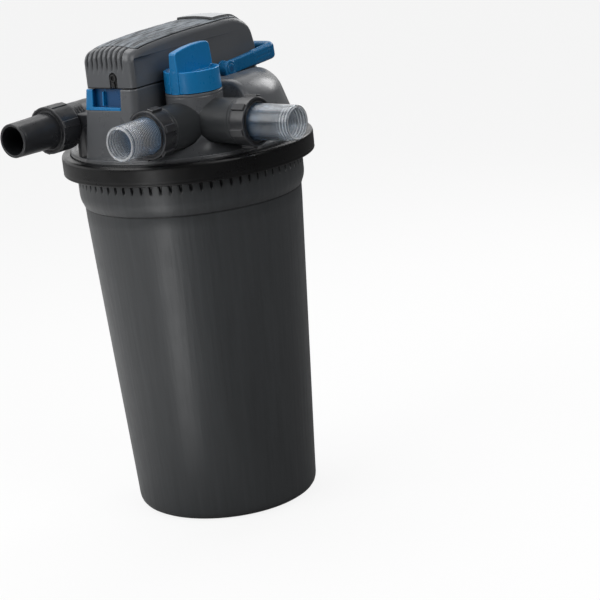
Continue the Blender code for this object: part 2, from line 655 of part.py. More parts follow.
def build_lamp():
    """Socket, U-shaped lamp, quartz sleeve and the nut above the sleeve's flange."""
    socket = [(0.0, 0.7000), (0.0200, 0.7000), (0.0200, ON_PLATE_Z),
              (0.0160, ON_PLATE_Z), (0.0160, 0.6300), (0.0, 0.6300)]
    turned("lamp_socket", socket, seg=24, finish=Finish(SOCKET_WHITE, roughness=0.5))
    path = [(-LAMP_LEG_X, 0, LAMP_TOP_Z)]
    path += [(x, 0, z) for x, z in arc(0, LAMP_BEND_Z, LAMP_LEG_X, pi, 2 * pi, 6)]
    path += [(LAMP_LEG_X, 0, LAMP_TOP_Z)]
    tube_path("uvc_lamp", path, LAMP_TUBE_R, finish=Finish(LAMP_GLASS, roughness=0.1))
    turned("quartz_sleeve", SLEEVE_PROFILE, seg=16,
           finish=Finish(CLEAR, roughness=0.05, alpha=0.3))
    washer("sleeve_nut", (0.0240, 0.0335), (0.6588, 0.6650), seg=24,
           finish=Finish(BLACK, roughness=0.5))


# ----------------------------------------------------------------- release latch
def build_release_latch():
    """The front left corner of a slightly larger base block."""
    latch = tapered_block("release_latch", z_low=0.6370, z_top=0.6664, grow=0.0010,
                          finish=Finish(BLUE, roughness=0.35))
    window = box("latch_window", (-0.0800, -0.2000, 0.6000), (0.0180, -0.1400, 0.7000))
    boolean(latch, window, "INTERSECT")


# ----------------------------------------------------------------- lift handle and pull rods
BAIL_REAR_Y = 0.157
BAIL_DEPTH = 0.024                # height of an arm's eye
BAIL_THICK = 0.010                # width of an arm
BAIL_BAR = 0.014                  # width of the cross bar at the rear
BAIL_SLOPE = radians(4.5)
BAIL_CORNER_R = 0.012
BAIL_CHAMFER = 0.006              # across the inner corners
ARM_START_Y = -0.0030             # from the pivot
ARM_IN = ROD_X - BAIL_THICK / 2
ARM_OUT = ROD_X + BAIL_THICK / 2
PIN_R = 0.0040
PIN_HOLE_R = 0.0043


def eye_frame(side):
    return along(side * ROD_X, ROD_Y, PIVOT_Z, (1, 0, 0))


def bail_plan():
    """U outline square to the bail's own plane: (x, y), y from the pivot to the rear."""
    reach = BAIL_REAR_Y - ROD_Y
    bar_y = reach - BAIL_BAR
    corner_x, corner_y = ARM_OUT - BAIL_CORNER_R, reach - BAIL_CORNER_R
    plan = [(-ARM_OUT, ARM_START_Y), (-ARM_IN, ARM_START_Y),
            (-ARM_IN, bar_y - BAIL_CHAMFER), (-ARM_IN + BAIL_CHAMFER, bar_y),
            (ARM_IN - BAIL_CHAMFER, bar_y), (ARM_IN, bar_y - BAIL_CHAMFER),
            (ARM_IN, ARM_START_Y), (ARM_OUT, ARM_START_Y)]
    plan += arc(corner_x, corner_y, BAIL_CORNER_R, 0, pi / 2, 3)
    plan += arc(-corner_x, corner_y, BAIL_CORNER_R, pi / 2, pi, 3)
    return plan


def build_bail():
    frame = at(0, ROD_Y, PIVOT_Z) @ Matrix.Rotation(BAIL_SLOPE, 4, "X")
    bail = outline("bail_handle", bail_plan(), BAIL_DEPTH - 0.002, matrix=frame,
                   finish=Finish(BLUE, roughness=0.35))
    for hand, side in SIDES:
        join(bail, cylinder("eye_" + hand, BAIL_DEPTH / 2, -BAIL_THICK / 2,
                            BAIL_THICK / 2, seg=24, matrix=eye_frame(side)))
    for hand, side in SIDES:
        cut(bail, cylinder("eye_hole_" + hand, PIN_HOLE_R, -0.02, 0.02, seg=16,
                           matrix=eye_frame(side)))


def build_pull_rod(hand, side):
    """Rod with a clevis on top, its pivot pin and the seal round it in the lid."""
    x, eye = side * ROD_X, eye_frame(side)
    cylinder("pivot_pin_" + hand, PIN_R, -0.0100, 0.0100, seg=12, matrix=eye,
             finish=BARE_STEEL)
    rod = cylinder("pull_rod_" + hand, ROD_R, PRESS_PLATE_Z[1] + GAP, 0.6430, seg=16,
                   matrix=at(x, ROD_Y), finish=Finish(BLUE, roughness=0.4))
    join(rod, box("clevis_" + hand, (x - 0.0100, ROD_Y - 0.0115, 0.6412),
                  (x + 0.0100, ROD_Y + 0.0115, 0.6750), bevel=0.002))
    cut(rod, box("clevis_slot_" + hand, (x - 0.0053, ROD_Y - 0.03, 0.6502),
                 (x + 0.0053, ROD_Y + 0.03, 0.70)))
    cut(rod, cylinder("clevis_pin_hole_" + hand, PIN_HOLE_R, -0.02, 0.02, seg=16,
                      matrix=eye))
    washer("rod_seal_" + hand, (ROD_R + GAP, 0.0092), (0.6343, 0.6396), seg=16,
           matrix=at(x, ROD_Y), finish=SOFT_SEAL)


# ----------------------------------------------------------------- filter stack
STRAINER_R = 0.058
STRAINER_WALL = 0.004
STRAINER_Z = (0.0080, 0.5520)
SLOT_ROWS, SLOT_FIRST_Z, SLOT_PITCH = 3, 0.080, 0.150
SLOT_HEIGHT, SLOT_HALF_WIDTH = 0.110, 0.009
PLATE_HOLE_R = STRAINER_R + 0.001
TOP_PLATE_Z = (0.5340, 0.5400)
FOAM_R = (0.081, 0.130)
FOAM_COUNT = 6
STACK_GAP = 0.0004                # between the foam stack and each plate


def build_plates():
    washer("press_plate", (PLATE_HOLE_R, 0.1340), PRESS_PLATE_Z, seg=24,
           finish=Finish(BLUE, roughness=0.5))
    top_plate = washer("top_plate", (PLATE_HOLE_R, 0.1600), TOP_PLATE_Z, seg=24,
                       finish=Finish(BLACK, roughness=0.5))
    for hand, side in SIDES:
        cut(top_plate, cylinder("plate_rod_hole_" + hand, ROD_R + 0.0008, 0.50, 0.56,
                                seg=12, matrix=at(side * ROD_X, ROD_Y)))


def build_strainer():
    strainer = washer("strainer_tube", (STRAINER_R - STRAINER_WALL, STRAINER_R),
                      STRAINER_Z, seg=24, finish=Finish(BLACK, roughness=0.5))
    for i in range(SLOT_ROWS):
        z = SLOT_FIRST_Z + SLOT_PITCH * i
        for j, angle in enumerate((0, pi / 2)):
            cut(strainer, box("slot_%d_%d" % (i, j), (-0.10, -SLOT_HALF_WIDTH, z),
                              (0.10, SLOT_HALF_WIDTH, z + SLOT_HEIGHT),
                              matrix=Matrix.Rotation(angle + pi / 4, 4, "Z")))


def build_foam():
    low, high = PRESS_PLATE_Z[1] + STACK_GAP, TOP_PLATE_Z[0] - STACK_GAP
    pitch = (high - low) / FOAM_COUNT
    for i in range(FOAM_COUNT):
        z = low + pitch * i
        washer("foam_ring_%d" % (i + 1), FOAM_R, (z, z + pitch - GAP), seg=20,
               finish=Finish(FOAM_COLOURS[i % 2], roughness=0.9))


# ----------------------------------------------------------------- build
build_container()
build_clamp_ring()
build_clamp_bolt()
build_lid()
build_unions()
build_valve_body()
build_valve_rotor()
build_valve_knob()
build_inlet_elbow()
build_hood()
build_base_plate()
build_lamp()
build_release_latch()
build_bail()
for rod_hand, rod_side in SIDES:
    build_pull_rod(rod_hand, rod_side)
build_plates()
build_strainer()
build_foam()
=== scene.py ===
"""Pressurised pond filter: a round bucket with a clamped lid, a hood, a valve with two hose
outlets, a hose inlet and a lift handle.

The bucket stands on z = 0 about the z axis. The latch, the inlet and the front outlet face -y,
and the valve stands towards +x, -y. Shapes are in millimetres: signed fields (negative inside)
meshed by dual contouring, and turned outlines. Each section builds its piece right away, because
the order of the objects matters."""
import json
from math import pi, sin, cos, radians
import bpy
import numpy as np
from mathutils import Matrix, Vector


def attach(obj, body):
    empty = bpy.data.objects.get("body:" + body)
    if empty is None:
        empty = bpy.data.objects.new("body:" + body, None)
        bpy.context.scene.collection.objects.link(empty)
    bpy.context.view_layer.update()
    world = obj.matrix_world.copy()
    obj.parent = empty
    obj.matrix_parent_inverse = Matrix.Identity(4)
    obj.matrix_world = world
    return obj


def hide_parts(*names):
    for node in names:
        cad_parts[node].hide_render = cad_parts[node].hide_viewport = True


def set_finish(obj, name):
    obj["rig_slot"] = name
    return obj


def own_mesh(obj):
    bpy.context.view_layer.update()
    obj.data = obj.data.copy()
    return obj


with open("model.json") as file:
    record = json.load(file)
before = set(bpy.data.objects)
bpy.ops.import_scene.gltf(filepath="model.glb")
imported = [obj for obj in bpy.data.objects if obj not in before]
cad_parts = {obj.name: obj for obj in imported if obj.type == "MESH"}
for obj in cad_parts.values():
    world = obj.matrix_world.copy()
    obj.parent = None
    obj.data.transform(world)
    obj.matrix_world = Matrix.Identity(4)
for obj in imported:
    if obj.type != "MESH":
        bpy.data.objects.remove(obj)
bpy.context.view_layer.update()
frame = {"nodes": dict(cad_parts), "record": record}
record = frame["record"]
COARSE = 1.0      # factor on every grid cell
MM = 0.001                               # metres

# ------------------------------------------------------------------ driving dimensions (mm)
VALVE_X, VALVE_Y = 86.0, -72.0           # valve's upright axis
PORT_Z = 608.5                           # height of both outlets' axes
FRONT_TAIL_Y, RIGHT_TAIL_X = -242.0, 268.0      # mouths of the outlets' hose tails
INLET_X, INLET_Y, INLET_Z = -100.0, -155.0, 612.0
FRONT_Y, REAR_Y = -153.0, 136.0          # front and rear of the hood and of the block under it
HOOD_X = -1.5                            # the hood stands a little off the middle
BLOCK_TOP, BLOCK_HEIGHT = 667.0, 103.0
RIM_RADIUS = 184.0                       # flanges of the bucket and of the lid
ROD_X, ROD_Y, PIVOT_Z = 64.0, 34.0, 663.0       # pull rods (at +-x) and the handle's pivots
ROD_BOTTOM = 48.4
CLAMP_BOLT_RADIUS, CLAMP_BOLT_Z = 204.5, 546.0
NUT_START, NUT_LENGTH = 87.0, 25.0       # outlet nuts, from the valve's axis outwards
INLET_NUT_LENGTH = 36.0
THREAD_RADIUS, THREAD_PITCH = 29.2, 3.2
TAIL_BORE, TAIL_MOUTH = 21.0, 25.0       # radii
BORE_RIB_PITCH = 5.2
FOAM_BOTTOM, FOAM_TOP, FOAM_COUNT = 48.4, 533.6, 6
SLOT_COUNT = 72                          # gusset slots round the bucket


# ------------------------------------------------------------------ fields
def union(a, b, fillet=0.0):
    """Union with a round fillet."""
    if np.isscalar(fillet) and fillet <= 0:
        return np.minimum(a, b)
    into_a, into_b = np.maximum(fillet - a, 0.0), np.maximum(fillet - b, 0.0)
    return np.maximum(fillet, np.minimum(a, b)) - np.sqrt(into_a * into_a + into_b * into_b)


def meet(a, b, edge=0.0):
    """Intersection with a round edge."""
    return -union(-a, -b, edge)


def cut(a, b, edge=0.0):
    return meet(a, -b, edge)


def soft_union(a, b, reach):
    near = np.maximum(reach - np.abs(a - b), 0.0) / reach
    return np.minimum(a, b) - near * near * reach * 0.25


def wedge(a, b, edge, cosine):
    """Round edge between two faces whose normals have the dot product cosine."""
    in_a, in_b = a + edge, b + edge
    on_edge = (in_a - cosine * in_b > 0) & (in_b - cosine * in_a > 0)
    square = in_a * in_a + in_b * in_b - 2 * cosine * in_a * in_b
    rounded = np.sqrt(np.maximum(square, 0) / (1 - cosine * cosine))
    return np.where(on_edge, rounded, np.maximum(in_a, in_b)) - edge


def slab(value, low, high):
    return np.maximum(low - value, value - high)


def rod(from_axis, radius, along, low, high, edge=0.0):
    """Round bar, from the distance to its axis and the place along it."""
    return meet(from_axis - radius, slab(along, low, high), edge)


def box(pos, low, high, edge=0.0):
    """Box with round edges, in as many dimensions as pos has columns."""
    low, high = np.array(low, float), np.array(high, float)
    out = np.abs(pos - (low + high) / 2) - ((high - low) / 2 - edge)
    return (np.sqrt((np.maximum(out, 0.0) ** 2).sum(1))
            + np.minimum(out.max(1), 0.0) - edge)


def rect(a, b, a0, a1, b0, b1, edge=0.0):
    return box(np.stack([a, b], 1), (a0, b0), (a1, b1), edge)


def ease(value, start, end):
    """Smooth step from 0 to 1."""
    t = np.clip((value - start) / (end - start), 0, 1)
    return t * t * (3 - 2 * t)


def bell(value, width):
    """Smooth bump of height 1 round 0; added to a field it is a groove."""
    return np.exp(-(value / width) ** 2)


def curve(points):
    """Smooth table through points: returns f(t) -> (value, slope factor)."""
    knots, values = np.array(points, float).T
    slopes = np.gradient(values, knots)
    for i in range(1, len(values) - 1):          # keep flats flat
        if (values[i] - values[i - 1]) * (values[i + 1] - values[i]) <= 0:
            slopes[i] = 0.0
    t = np.arange(knots[0], knots[-1] + 0.25, 0.5)
    i = np.clip(np.searchsorted(knots, t, side="right") - 1, 0, len(knots) - 2)
    span = knots[i + 1] - knots[i]
    s = (t - knots[i]) / span
    table = ((2 * s ** 3 - 3 * s ** 2 + 1) * values[i]
             + (s ** 3 - 2 * s ** 2 + s) * span * slopes[i]
             + (-2 * s ** 3 + 3 * s ** 2) * values[i + 1]
             + (s ** 3 - s ** 2) * span * slopes[i + 1])
    factor = 1 / np.sqrt(1 + np.gradient(table, t) ** 2)
    return lambda at: (np.interp(at, t, table), np.interp(at, t, factor))


# ------------------------------------------------------------------ mesher
TETRA = np.array([(1, -1, -1), (-1, -1, 1), (-1, 1, -1), (1, 1, 1)], float)
BLOCK = 12          # grid points along a block's side


def batched(field, pos, size=200000):
    if len(pos) <= size:
        return np.asarray(field(pos), float)
    return np.concatenate([np.asarray(field(pos[i:i + size]), float)
                           for i in range(0, len(pos), size)])


def unit_rows(vectors):
    return vectors / np.maximum(np.linalg.norm(vectors, axis=1), 1e-9)[:, None]


def gradient(field, pos, reach=0.04):
    total = np.zeros_like(pos)
    for corner in TETRA:
        total += corner * batched(field, pos + reach * corner)[:, None]
    return unit_rows(total)


def sample(field, low, high, cell):
    """Field values on a grid; blocks clear of the surface hold only their sign."""
    steps = np.ceil((np.array(high, float) + 1.5 * cell - low) / cell).astype(int) + 1
    count = -(-steps // BLOCK)
    grid = np.empty(tuple(count * BLOCK), np.float64)
    blocks = grid.reshape(count[0], BLOCK, count[1], BLOCK, count[2], BLOCK)
    blocks = blocks.transpose(0, 2, 4, 1, 3, 5)
    ids = np.argwhere(np.ones(tuple(count), bool))
    middle = batched(field, low + (ids * BLOCK + (BLOCK - 1) / 2) * cell)
    # half a block's diagonal, with room for fields steeper than a true distance
    near = np.abs(middle) < (BLOCK + 1) / 2 * cell * 1.7321 * 1.45 + 0.6
    blocks[tuple(ids[~near].T)] = (np.sign(middle[~near]) * 1e3)[:, None, None, None]
    offsets = np.argwhere(np.ones((BLOCK,) * 3, bool))
    active = ids[near]
    for i in range(0, len(active), 80):
        some = active[i:i + 80]
        pos = (low + (some[:, None, :] * BLOCK + offsets[None]) * cell).reshape(-1, 3)
        blocks[tuple(some.T)] = field(pos).reshape(len(some), BLOCK, BLOCK, BLOCK)
    return grid


def crossings(field, grid, low, cell, axis):
    """Surface points on the grid's edges along an axis, the four cells round each edge, and
    those cells ordered as an outward quad."""
    inside = grid < 0
    dims = np.array(grid.shape) - 1
    near_end, far_end = [slice(None)] * 3, [slice(None)] * 3
    near_end[axis], far_end[axis] = slice(None, -1), slice(1, None)
    index = np.argwhere(inside[tuple(near_end)] != inside[tuple(far_end)])
    step = np.zeros(3, int)
    step[axis] = 1
    value_a, value_b = grid[tuple(index.T)], grid[tuple((index + step).T)]
    starts_inside = value_a < 0
    base = low + index * cell
    value_a, value_b = np.clip(value_a, -cell, cell), np.clip(value_b, -cell, cell)
    t_a, t_b = np.zeros(len(index)), np.ones(len(index))
    for _ in range(4):
        t = t_a + (t_b - t_a) * np.clip(value_a / (value_a - value_b), 0.08, 0.92)
        pos = base.copy()
        pos[:, axis] += t * cell
        value = batched(field, pos)
        same = (value < 0) == starts_inside
        t_a, value_a = np.where(same, t, t_a), np.where(same, value, value_a)
        t_b, value_b = np.where(same, t_b, t), np.where(same, value_b, value)
    t = t_a + (t_b - t_a) * value_a / np.where(value_a == value_b, 1, value_a - value_b)
    pos = base.copy()
    pos[:, axis] += t * cell
    cells = []
    for side_1, side_2 in ((-1, -1), (0, -1), (0, 0), (-1, 0)):
        c = index.copy()
        c[:, (axis + 1) % 3] += side_1
        c[:, (axis + 2) % 3] += side_2
        cells.append((c[:, 0] * dims[1] + c[:, 1]) * dims[2] + c[:, 2])
    cells = np.stack(cells, 1)
    return pos, cells, np.where(starts_inside[:, None], cells, cells[:, ::-1])


def contour(field, low, high, cell):
    """Dual contouring of a field: crisp edges where the field has them."""
    cell = cell * COARSE
    low = np.array(low, float) - 1.37 * cell
    grid = sample(field, low, high, cell)
    dims = np.array(grid.shape) - 1
    found = [crossings(field, grid, low, cell, axis) for axis in range(3)]
    pos = np.concatenate([part[0] for part in found])
    normals = np.concatenate([gradient(field, part[0]) for part in found])
    cells = np.concatenate([part[1] for part in found])
    quads = np.concatenate([part[2] for part in found])
    used, owner = np.unique(cells.ravel(), return_inverse=True)
    total = len(used)
    pos, normals = np.repeat(pos, 4, 0), np.repeat(normals, 4, 0)
    count = np.bincount(owner, minlength=total).astype(float)

    def per_cell(values):
        return np.bincount(owner, values, total)
    # each cell's vertex best fits the planes through its crossings, pulled to their mean
    mean = np.stack([per_cell(pos[:, k]) for k in range(3)], 1) / count[:, None]
    offset = (normals * pos).sum(1)
    matrix = np.empty((total, 3, 3))
    for i in range(3):
        for k in range(i, 3):
            matrix[:, i, k] = matrix[:, k, i] = per_cell(normals[:, i] * normals[:, k])
    target = np.stack([per_cell(normals[:, k] * offset) for k in range(3)], 1)
    target -= np.einsum("nij,nj->ni", matrix, mean)
    matrix += np.eye(3) * (0.06 * count)[:, None, None]
    shift_by = np.linalg.solve(matrix, target[:, :, None])[:, :, 0]
    corner = np.stack([used // (dims[1] * dims[2]), used // dims[2] % dims[1],
                       used % dims[2]], 1)
    verts = np.clip(mean + shift_by, low + corner * cell - 0.02 * cell,
                    low + (corner + 1) * cell + 0.02 * cell)
    return verts, np.searchsorted(used, quads)


def loop_normals(field, verts, quads):
    """Normals for the quads' corners from the field, or the face's own where they disagree."""
    centre = verts[quads].mean(1)
    pos = (0.66 * verts[quads] + 0.34 * centre[:, None, :]).reshape(-1, 3)
    normals = gradient(field, pos).reshape(-1, 4, 3)
    flat = unit_rows(np.cross(verts[quads[:, 2]] - verts[quads[:, 0]],
                              verts[quads[:, 3]] - verts[quads[:, 1]]))
    bad = (normals * flat[:, None, :]).sum(2) < 0.35
    return np.where(bad[:, :, None], flat[:, None, :], normals).reshape(-1, 3)


def drop_islands(verts, quads, share=0.02):
    """Drops stray islands smaller than a share of the whole."""
    label = np.arange(len(verts))
    for _ in range(400):
        lowest = label[quads].min(1)
        spread = label.copy()
        for k in range(4):
            np.minimum.at(spread, quads[:, k], lowest)
        spread = spread[spread]
        spread = spread[spread]
        if (spread == label).all():
            break
        label = spread
    face = label[quads[:, 0]]
    ids, count = np.unique(face, return_counts=True)
    quads = quads[np.isin(face, ids[count > share * len(quads)])]
    used = np.unique(quads)
    return verts[used], np.searchsorted(used, quads)


def make(name, verts, faces, normals=None, place=None, angle=None):
    """Smooth mesh object from millimetres; sharp edges come from normals or from an angle."""
    mesh = bpy.data.meshes.new(name)
    verts = verts * MM
    if place is not None:
        matrix = np.array(place, float)
        verts = verts @ matrix[:3, :3].T + matrix[:3, 3]
        if normals is not None:
            normals = normals @ matrix[:3, :3].T
    mesh.from_pydata(verts.tolist(), [], faces)
    mesh.polygons.foreach_set("use_smooth", [True] * len(mesh.polygons))
    if normals is not None:
        mesh.normals_split_custom_set(normals.tolist())
    else:
        mesh.set_sharp_from_angle(angle=radians(angle))
    mesh.update()
    obj = bpy.data.objects.new(name, mesh)
    bpy.context.scene.collection.objects.link(obj)
    return obj


def sculpt(name, field, low, high, cell, place=None):
    verts, quads = drop_islands(*contour(field, low, high, cell))
    return make(name, verts, quads.tolist(), loop_normals(field, verts, quads), place)


def sculpt_pair(names, field, low, high, cell):
    """The same piece at the front and the right outlet, meshed once."""
    verts, quads = contour(field, low, high, cell)
    normals = loop_normals(field, verts, quads)
    return [make(name, verts, quads.tolist(), normals, place)
            for name, place in zip(names, (FRONT, RIGHT))]


# ------------------------------------------------------------------ frames and masks
def shift(x, y, z):
    return Matrix.Translation((x * MM, y * MM, z * MM))


def frame_along(x, y, z, direction):
    """Frame at a point, with its own z axis along a direction."""
    return shift(x, y, z) @ Vector(direction).to_track_quat("Z", "Y").to_matrix().to_4x4()


def local(pos, place):
    """World millimetres to a frame's own millimetres."""
    matrix = np.array(place, float)
    return (pos - matrix[:3, 3] * 1000.0) @ matrix[:3, :3]


def mesh_points(obj):
    pos = np.empty(len(obj.data.vertices) * 3)
    obj.data.vertices.foreach_get("co", pos)
    return pos.reshape(-1, 3) * 1000.0


def paint(obj, name, values):
    """A soft 0..1 mask kept on the mesh's points, for the material to use."""
    mask = obj.data.attributes.new(name, "FLOAT", "POINT")
    mask.data.foreach_set("value", np.ascontiguousarray(np.clip(values, 0, 1), np.float32))


# outlet and inlet frames: z runs out along the pipe
FRONT = frame_along(VALVE_X, VALVE_Y, PORT_Z, (0, -1, 0))
RIGHT = frame_along(VALVE_X, VALVE_Y, PORT_Z, (1, 0, 0))
INLET = frame_along(INLET_X, INLET_Y, INLET_Z, (0, -1, 0))


# ------------------------------------------------------------------ turned pieces
def dense(outline, step, corner=0.35):
    """Resamples a closed outline, keeping corners tight with a small bevel."""
    out = []
    for i in range(len(outline)):
        a = np.array(outline[i], float)
        b = np.array(outline[(i + 1) % len(outline)], float)
        length = np.linalg.norm(b - a)
        bevel = min(corner, length * 0.3)
        count = max(1, int(round((length - 2 * bevel) / step)))
        for s in np.linspace(bevel / length, 1 - bevel / length, count + 1):
            out.append(a + (b - a) * s)
    return np.array(out)


def spin(outline, angles, bend, full=True, closed=True):
    """Turns an (r, z) outline about z; bend(theta, r, z) gives the bent radius.
    full joins the last angle to the first, closed the outline's last point to its first."""
    theta, radius = np.meshgrid(angles, outline[:, 0], indexing="ij")
    z = np.broadcast_to(outline[:, 1], radius.shape)
    if bend is not None:
        radius = bend(theta, radius, z)
    verts = np.stack([radius * np.cos(theta), radius * np.sin(theta), z], 2).reshape(-1, 3)
    columns, rows = theta.shape
    i, j = np.meshgrid(np.arange(columns if full else columns - 1),
                       np.arange(rows if closed else rows - 1), indexing="ij")
    i2, j2 = (i + 1) % columns, (j + 1) % rows
    quads = np.stack([i * rows + j, i2 * rows + j, i2 * rows + j2, i * rows + j2], 2)
    return verts, quads.reshape(-1, 4).tolist()


def lathe(name, outline, segments, bend=None, place=None, closed=True, angle=32):
    """Full turn of an anticlockwise outline; an open one gets a flat face on each end's ring."""
    outline = np.array(outline, float)
    angles = np.arange(segments) * 2 * pi / segments
    verts, faces = spin(outline, angles, bend, closed=closed)
    if not closed:
        rows = len(outline)
        faces.append([k * rows for k in range(segments)][::-1])
        faces.append([k * rows + rows - 1 for k in range(segments)])
    return make(name, verts, faces, None, place, angle)


def lathe_arc(name, outline, start, end, segments, bend, angle=32):
    """Part turn of a closed outline, capped at both cuts."""
    verts, faces = spin(outline, np.linspace(start, end, segments + 1), bend, full=False)
    rows = len(outline)
    faces.append(list(range(rows)))
    faces.append([segments * rows + k for k in range(rows)][::-1])
    return make(name, verts, faces, None, None, angle)


# ------------------------------------------------------------------ register of pieces
piece = {}
BODY = {node: body for body, nodes in record["behaviour"]["bodies"].items() for node in nodes}


def put(obj, node, slot, replace=True):
    """Moves a piece with a frame node's body, and has it stand in for that node."""
    piece[obj.name] = obj
    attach(obj, BODY[node])
    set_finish(obj, slot)
    if replace:
        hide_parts(node)
    return obj


# ------------------------------------------------------------------ lid
# radius, height of the lid's low outer skin
LOW = curve([(0, 606), (30, 605.8), (60, 605), (80, 601.6), (100, 597), (130, 587),
             (155, 574), (170, 565), (176, 562.6), (200, 558)])


def block_draft(z):
    """0 at the block's top, 1 at its foot: how far its walls have leaned out."""
    return (BLOCK_TOP - z) / BLOCK_HEIGHT


def block_field(pos, grow=0.0, top=BLOCK_TOP):
    """Tapered block on the lid, under the hood; the factors allow for the walls' lean."""
    x, y, z = pos.T
    draft = block_draft(z)
    left = (-x - 49.0 - 6.0 * draft) * 0.9983
    right = (x - 44.0 - 3.0 * draft) * 0.9996
    front = (FRONT_Y - y - 13.0 * draft) * 0.9921
    ends = np.maximum(front, y - REAR_Y)
    side = np.maximum(meet(left, ends, 5.0), meet(right, ends, 11.0)) - grow
    return meet(side, z - top, 1.4)


def arm_channel(pos):
    """Channels beside the block for the handle's arms."""
    x, y, z = pos.T
    floor = 640.0 + np.maximum(y - 50.0, 0) * 0.0963
    channel = meet(slab(np.abs(x), 47.8, 80.0), 8.0 - y, 2.0)
    return meet(channel, (floor - z) * 0.9954, 2.0)


def lid_skin(pos):
    """Outer surface of the lid, taken as solid."""
    x, y, z = pos.T
    radius = np.hypot(x, y)
    from_valve = np.hypot(x - VALVE_X, y - VALVE_Y)
    low_z, low_slope = LOW(radius)
    low = meet((z - low_z) * low_slope, radius - 175.4, 1.5)
    wall = (radius - 153.0) * 0.9522 + (z - 618.0) * 0.3054
    dome = wedge(z - 657.5, wall, 44.0, 0.3054)
    front = (-20.0 - y) * 0.96 - (657.5 - z) * 0.22
    dome = meet(dome, front, 6.0)
    boss = meet(from_valve - 43.0 - np.maximum(600.0 - z, 0) * 0.10, z - 598.0, 0.9)
    solid = union(low, boss, 9.0)
    solid = union(solid, dome, 9.0)
    solid = union(solid, block_field(pos), 5.0)
    # reinforcing rim round the low edge
    rim = meet(np.abs(radius - 171.5) - 3.2, z - 566.6, 1.2)
    solid = soft_union(solid, np.maximum(rim, 556.0 - z), 2.0)
    # clearances for the valve and its outlets
    solid = cut(solid, np.maximum(from_valve - 42.2, 598.0 - z), 0.8)
    for port in (FRONT, RIGHT):
        side, up, out = local(pos, port).T
        solid = cut(solid, rod(np.hypot(side, up), 33.7, out, 10, 130), 1.0)
    latch_pocket = np.maximum(np.maximum(x - 18.4, y + 139.6), 636.6 - z)
    solid = cut(solid, latch_pocket, 0.6)
    solid = cut(solid, arm_channel(pos), 1.5)
    return cut(solid, np.maximum(radius - 34.5, 655.0 - z), 0.6)


def lid_field(pos):
    x, y, z = pos.T
    radius = np.hypot(x, y)
    from_valve = np.hypot(x - VALVE_X, y - VALVE_Y)
    wall, skirt_radius = 4.2, 165.8
    flange_z, skirt_z = 547.3, 541.0
    skin = lid_skin(pos)
    solid = np.maximum(skin, -(skin + wall))
    flange = rect(radius, z, 162.5, RIM_RADIUS, flange_z, 555.3, 0.9)
    skirt = rect(radius, z, 162.5, skirt_radius, skirt_z, 551.0, 0.5)
    solid = union(solid, np.minimum(flange, skirt), 0.8)
    for rod_x in (-ROD_X, ROD_X):            # bosses round the pull rods
        from_rod = np.hypot(x - rod_x, y - ROD_Y)
        solid = union(solid, rod(from_rod, 13.0, z, 626.0, 639.8, 1.0), 1.0)
    solid = np.maximum(solid, np.where(radius > skirt_radius, flange_z, skirt_z) - z)
    solid = cut(solid, radius - 24.6, 0.4)
    solid = cut(solid, from_valve - 34.0, 0.4)
    for rod_x in (-ROD_X, ROD_X):            # rod hole with a wider seat above
        from_rod = np.hypot(x - rod_x, y - ROD_Y)
        solid = cut(solid, np.maximum(from_rod - 5.4, 600.0 - z), 0.3)
        solid = cut(solid, np.maximum(from_rod - 9.5, 634.0 - z), 0.5)
    return solid


def build_lid():
    reach = RIM_RADIUS + 0.5
    lid = put(sculpt("lid_shell", lid_field, (-reach, -reach, 540), (reach, reach, 668), 1.75),
              "lid", "lid_plastic")
    x, y, z = mesh_points(lid).T
    # painted shade: a dark band on the flange where the ring's lip meets the lid
    paint(lid, "groove", bell(np.hypot(x, y) - 176.8, 1.6) * (z < 565.0) * (z > 550.0))


build_lid()

# ------------------------------------------------------------------ hood
# y, height of the hood's roof along its middle
ROOF = curve([(-175, 716), (-153, 722.2), (-125, 729.0), (-80, 733.2), (-34, 735.4),
              (0, 736.0), (45, 736.2), (75, 736.0), (95, 733.6), (110, 728.0), (140, 708)])
# z, y of the hood's rear face
REAR = curve([(650, 136), (680, 136), (693, 133.2), (708, 128.3), (719.5, 120.4),
              (729.5, 110), (745, 90)])


def hood_marks(pos):
    """Cap and plate outlines (negative inside); masks 0..1 of the upper part, the flutes, the
    side scoop and the scoop's shade."""
    x, y, z = pos.T
    from_mid = x - HOOD_X
    roof_z, _ = ROOF(y)
    upper = ease(z - (roof_z - 19.0), 0.0, 6.0)
    cap = rect(from_mid, y, -40.6, 40.6, -134.0, 200.0, 8.0)
    plate = rect(from_mid, y, -35.0, 35.0, 50.0, 140.0, 3.0)
    # moulded flutes over the front's upper edge, up to the cap
    lobe = np.abs(np.sin(pi * (x + 39.6) / 9.4))
    ends = ease(31.0 - x, 0.0, 4.0) * ease(x + 46.5, 0.0, 2.5)
    fade = ease(z, 687.0, 705.0) * ease(cap, -0.2, 2.2) * ease(-y, 100.0, 120.0)
    flute = (1.0 - lobe) ** 1.25 * ends * fade
    # scooped side panels: crisp at the front end and along the top, melting away below
    depth = -meet(z - 711.0, slab(y, -146.0, 114.0), 5.0)
    run = (1.0 - 0.80 * ease(y, -122.0, -88.0)) * (1.0 - ease(y, 40.0, 112.0))
    side = ease(np.abs(from_mid), 33.0, 40.0)
    scoop = ease(depth, 0.0, 1.1) * ease(z, 676.0, 707.0) * run * side
    # painted shade in the scoop, strongest just inside its top and front edges
    shade = scoop * (1.0 - 0.75 * ease(depth, 1.0, 9.0))
    return cap, plate, upper, flute, scoop, shade


def cap_ripples(from_mid, y):
    """Long ripples along the cap, about -1 to 1."""
    wander = from_mid + 2.2 * np.sin(y * 0.043) + 1.1 * np.sin(y * 0.11 + 1.0)
    fine = np.sin(wander * 1.27 + 1.1 + 0.9 * np.sin(y * 0.071))
    ripple = np.sin(wander * 0.62) * 0.5 + fine * 0.5
    return ripple * (0.7 + 0.3 * np.sin(y * 0.19 + from_mid * 0.31))


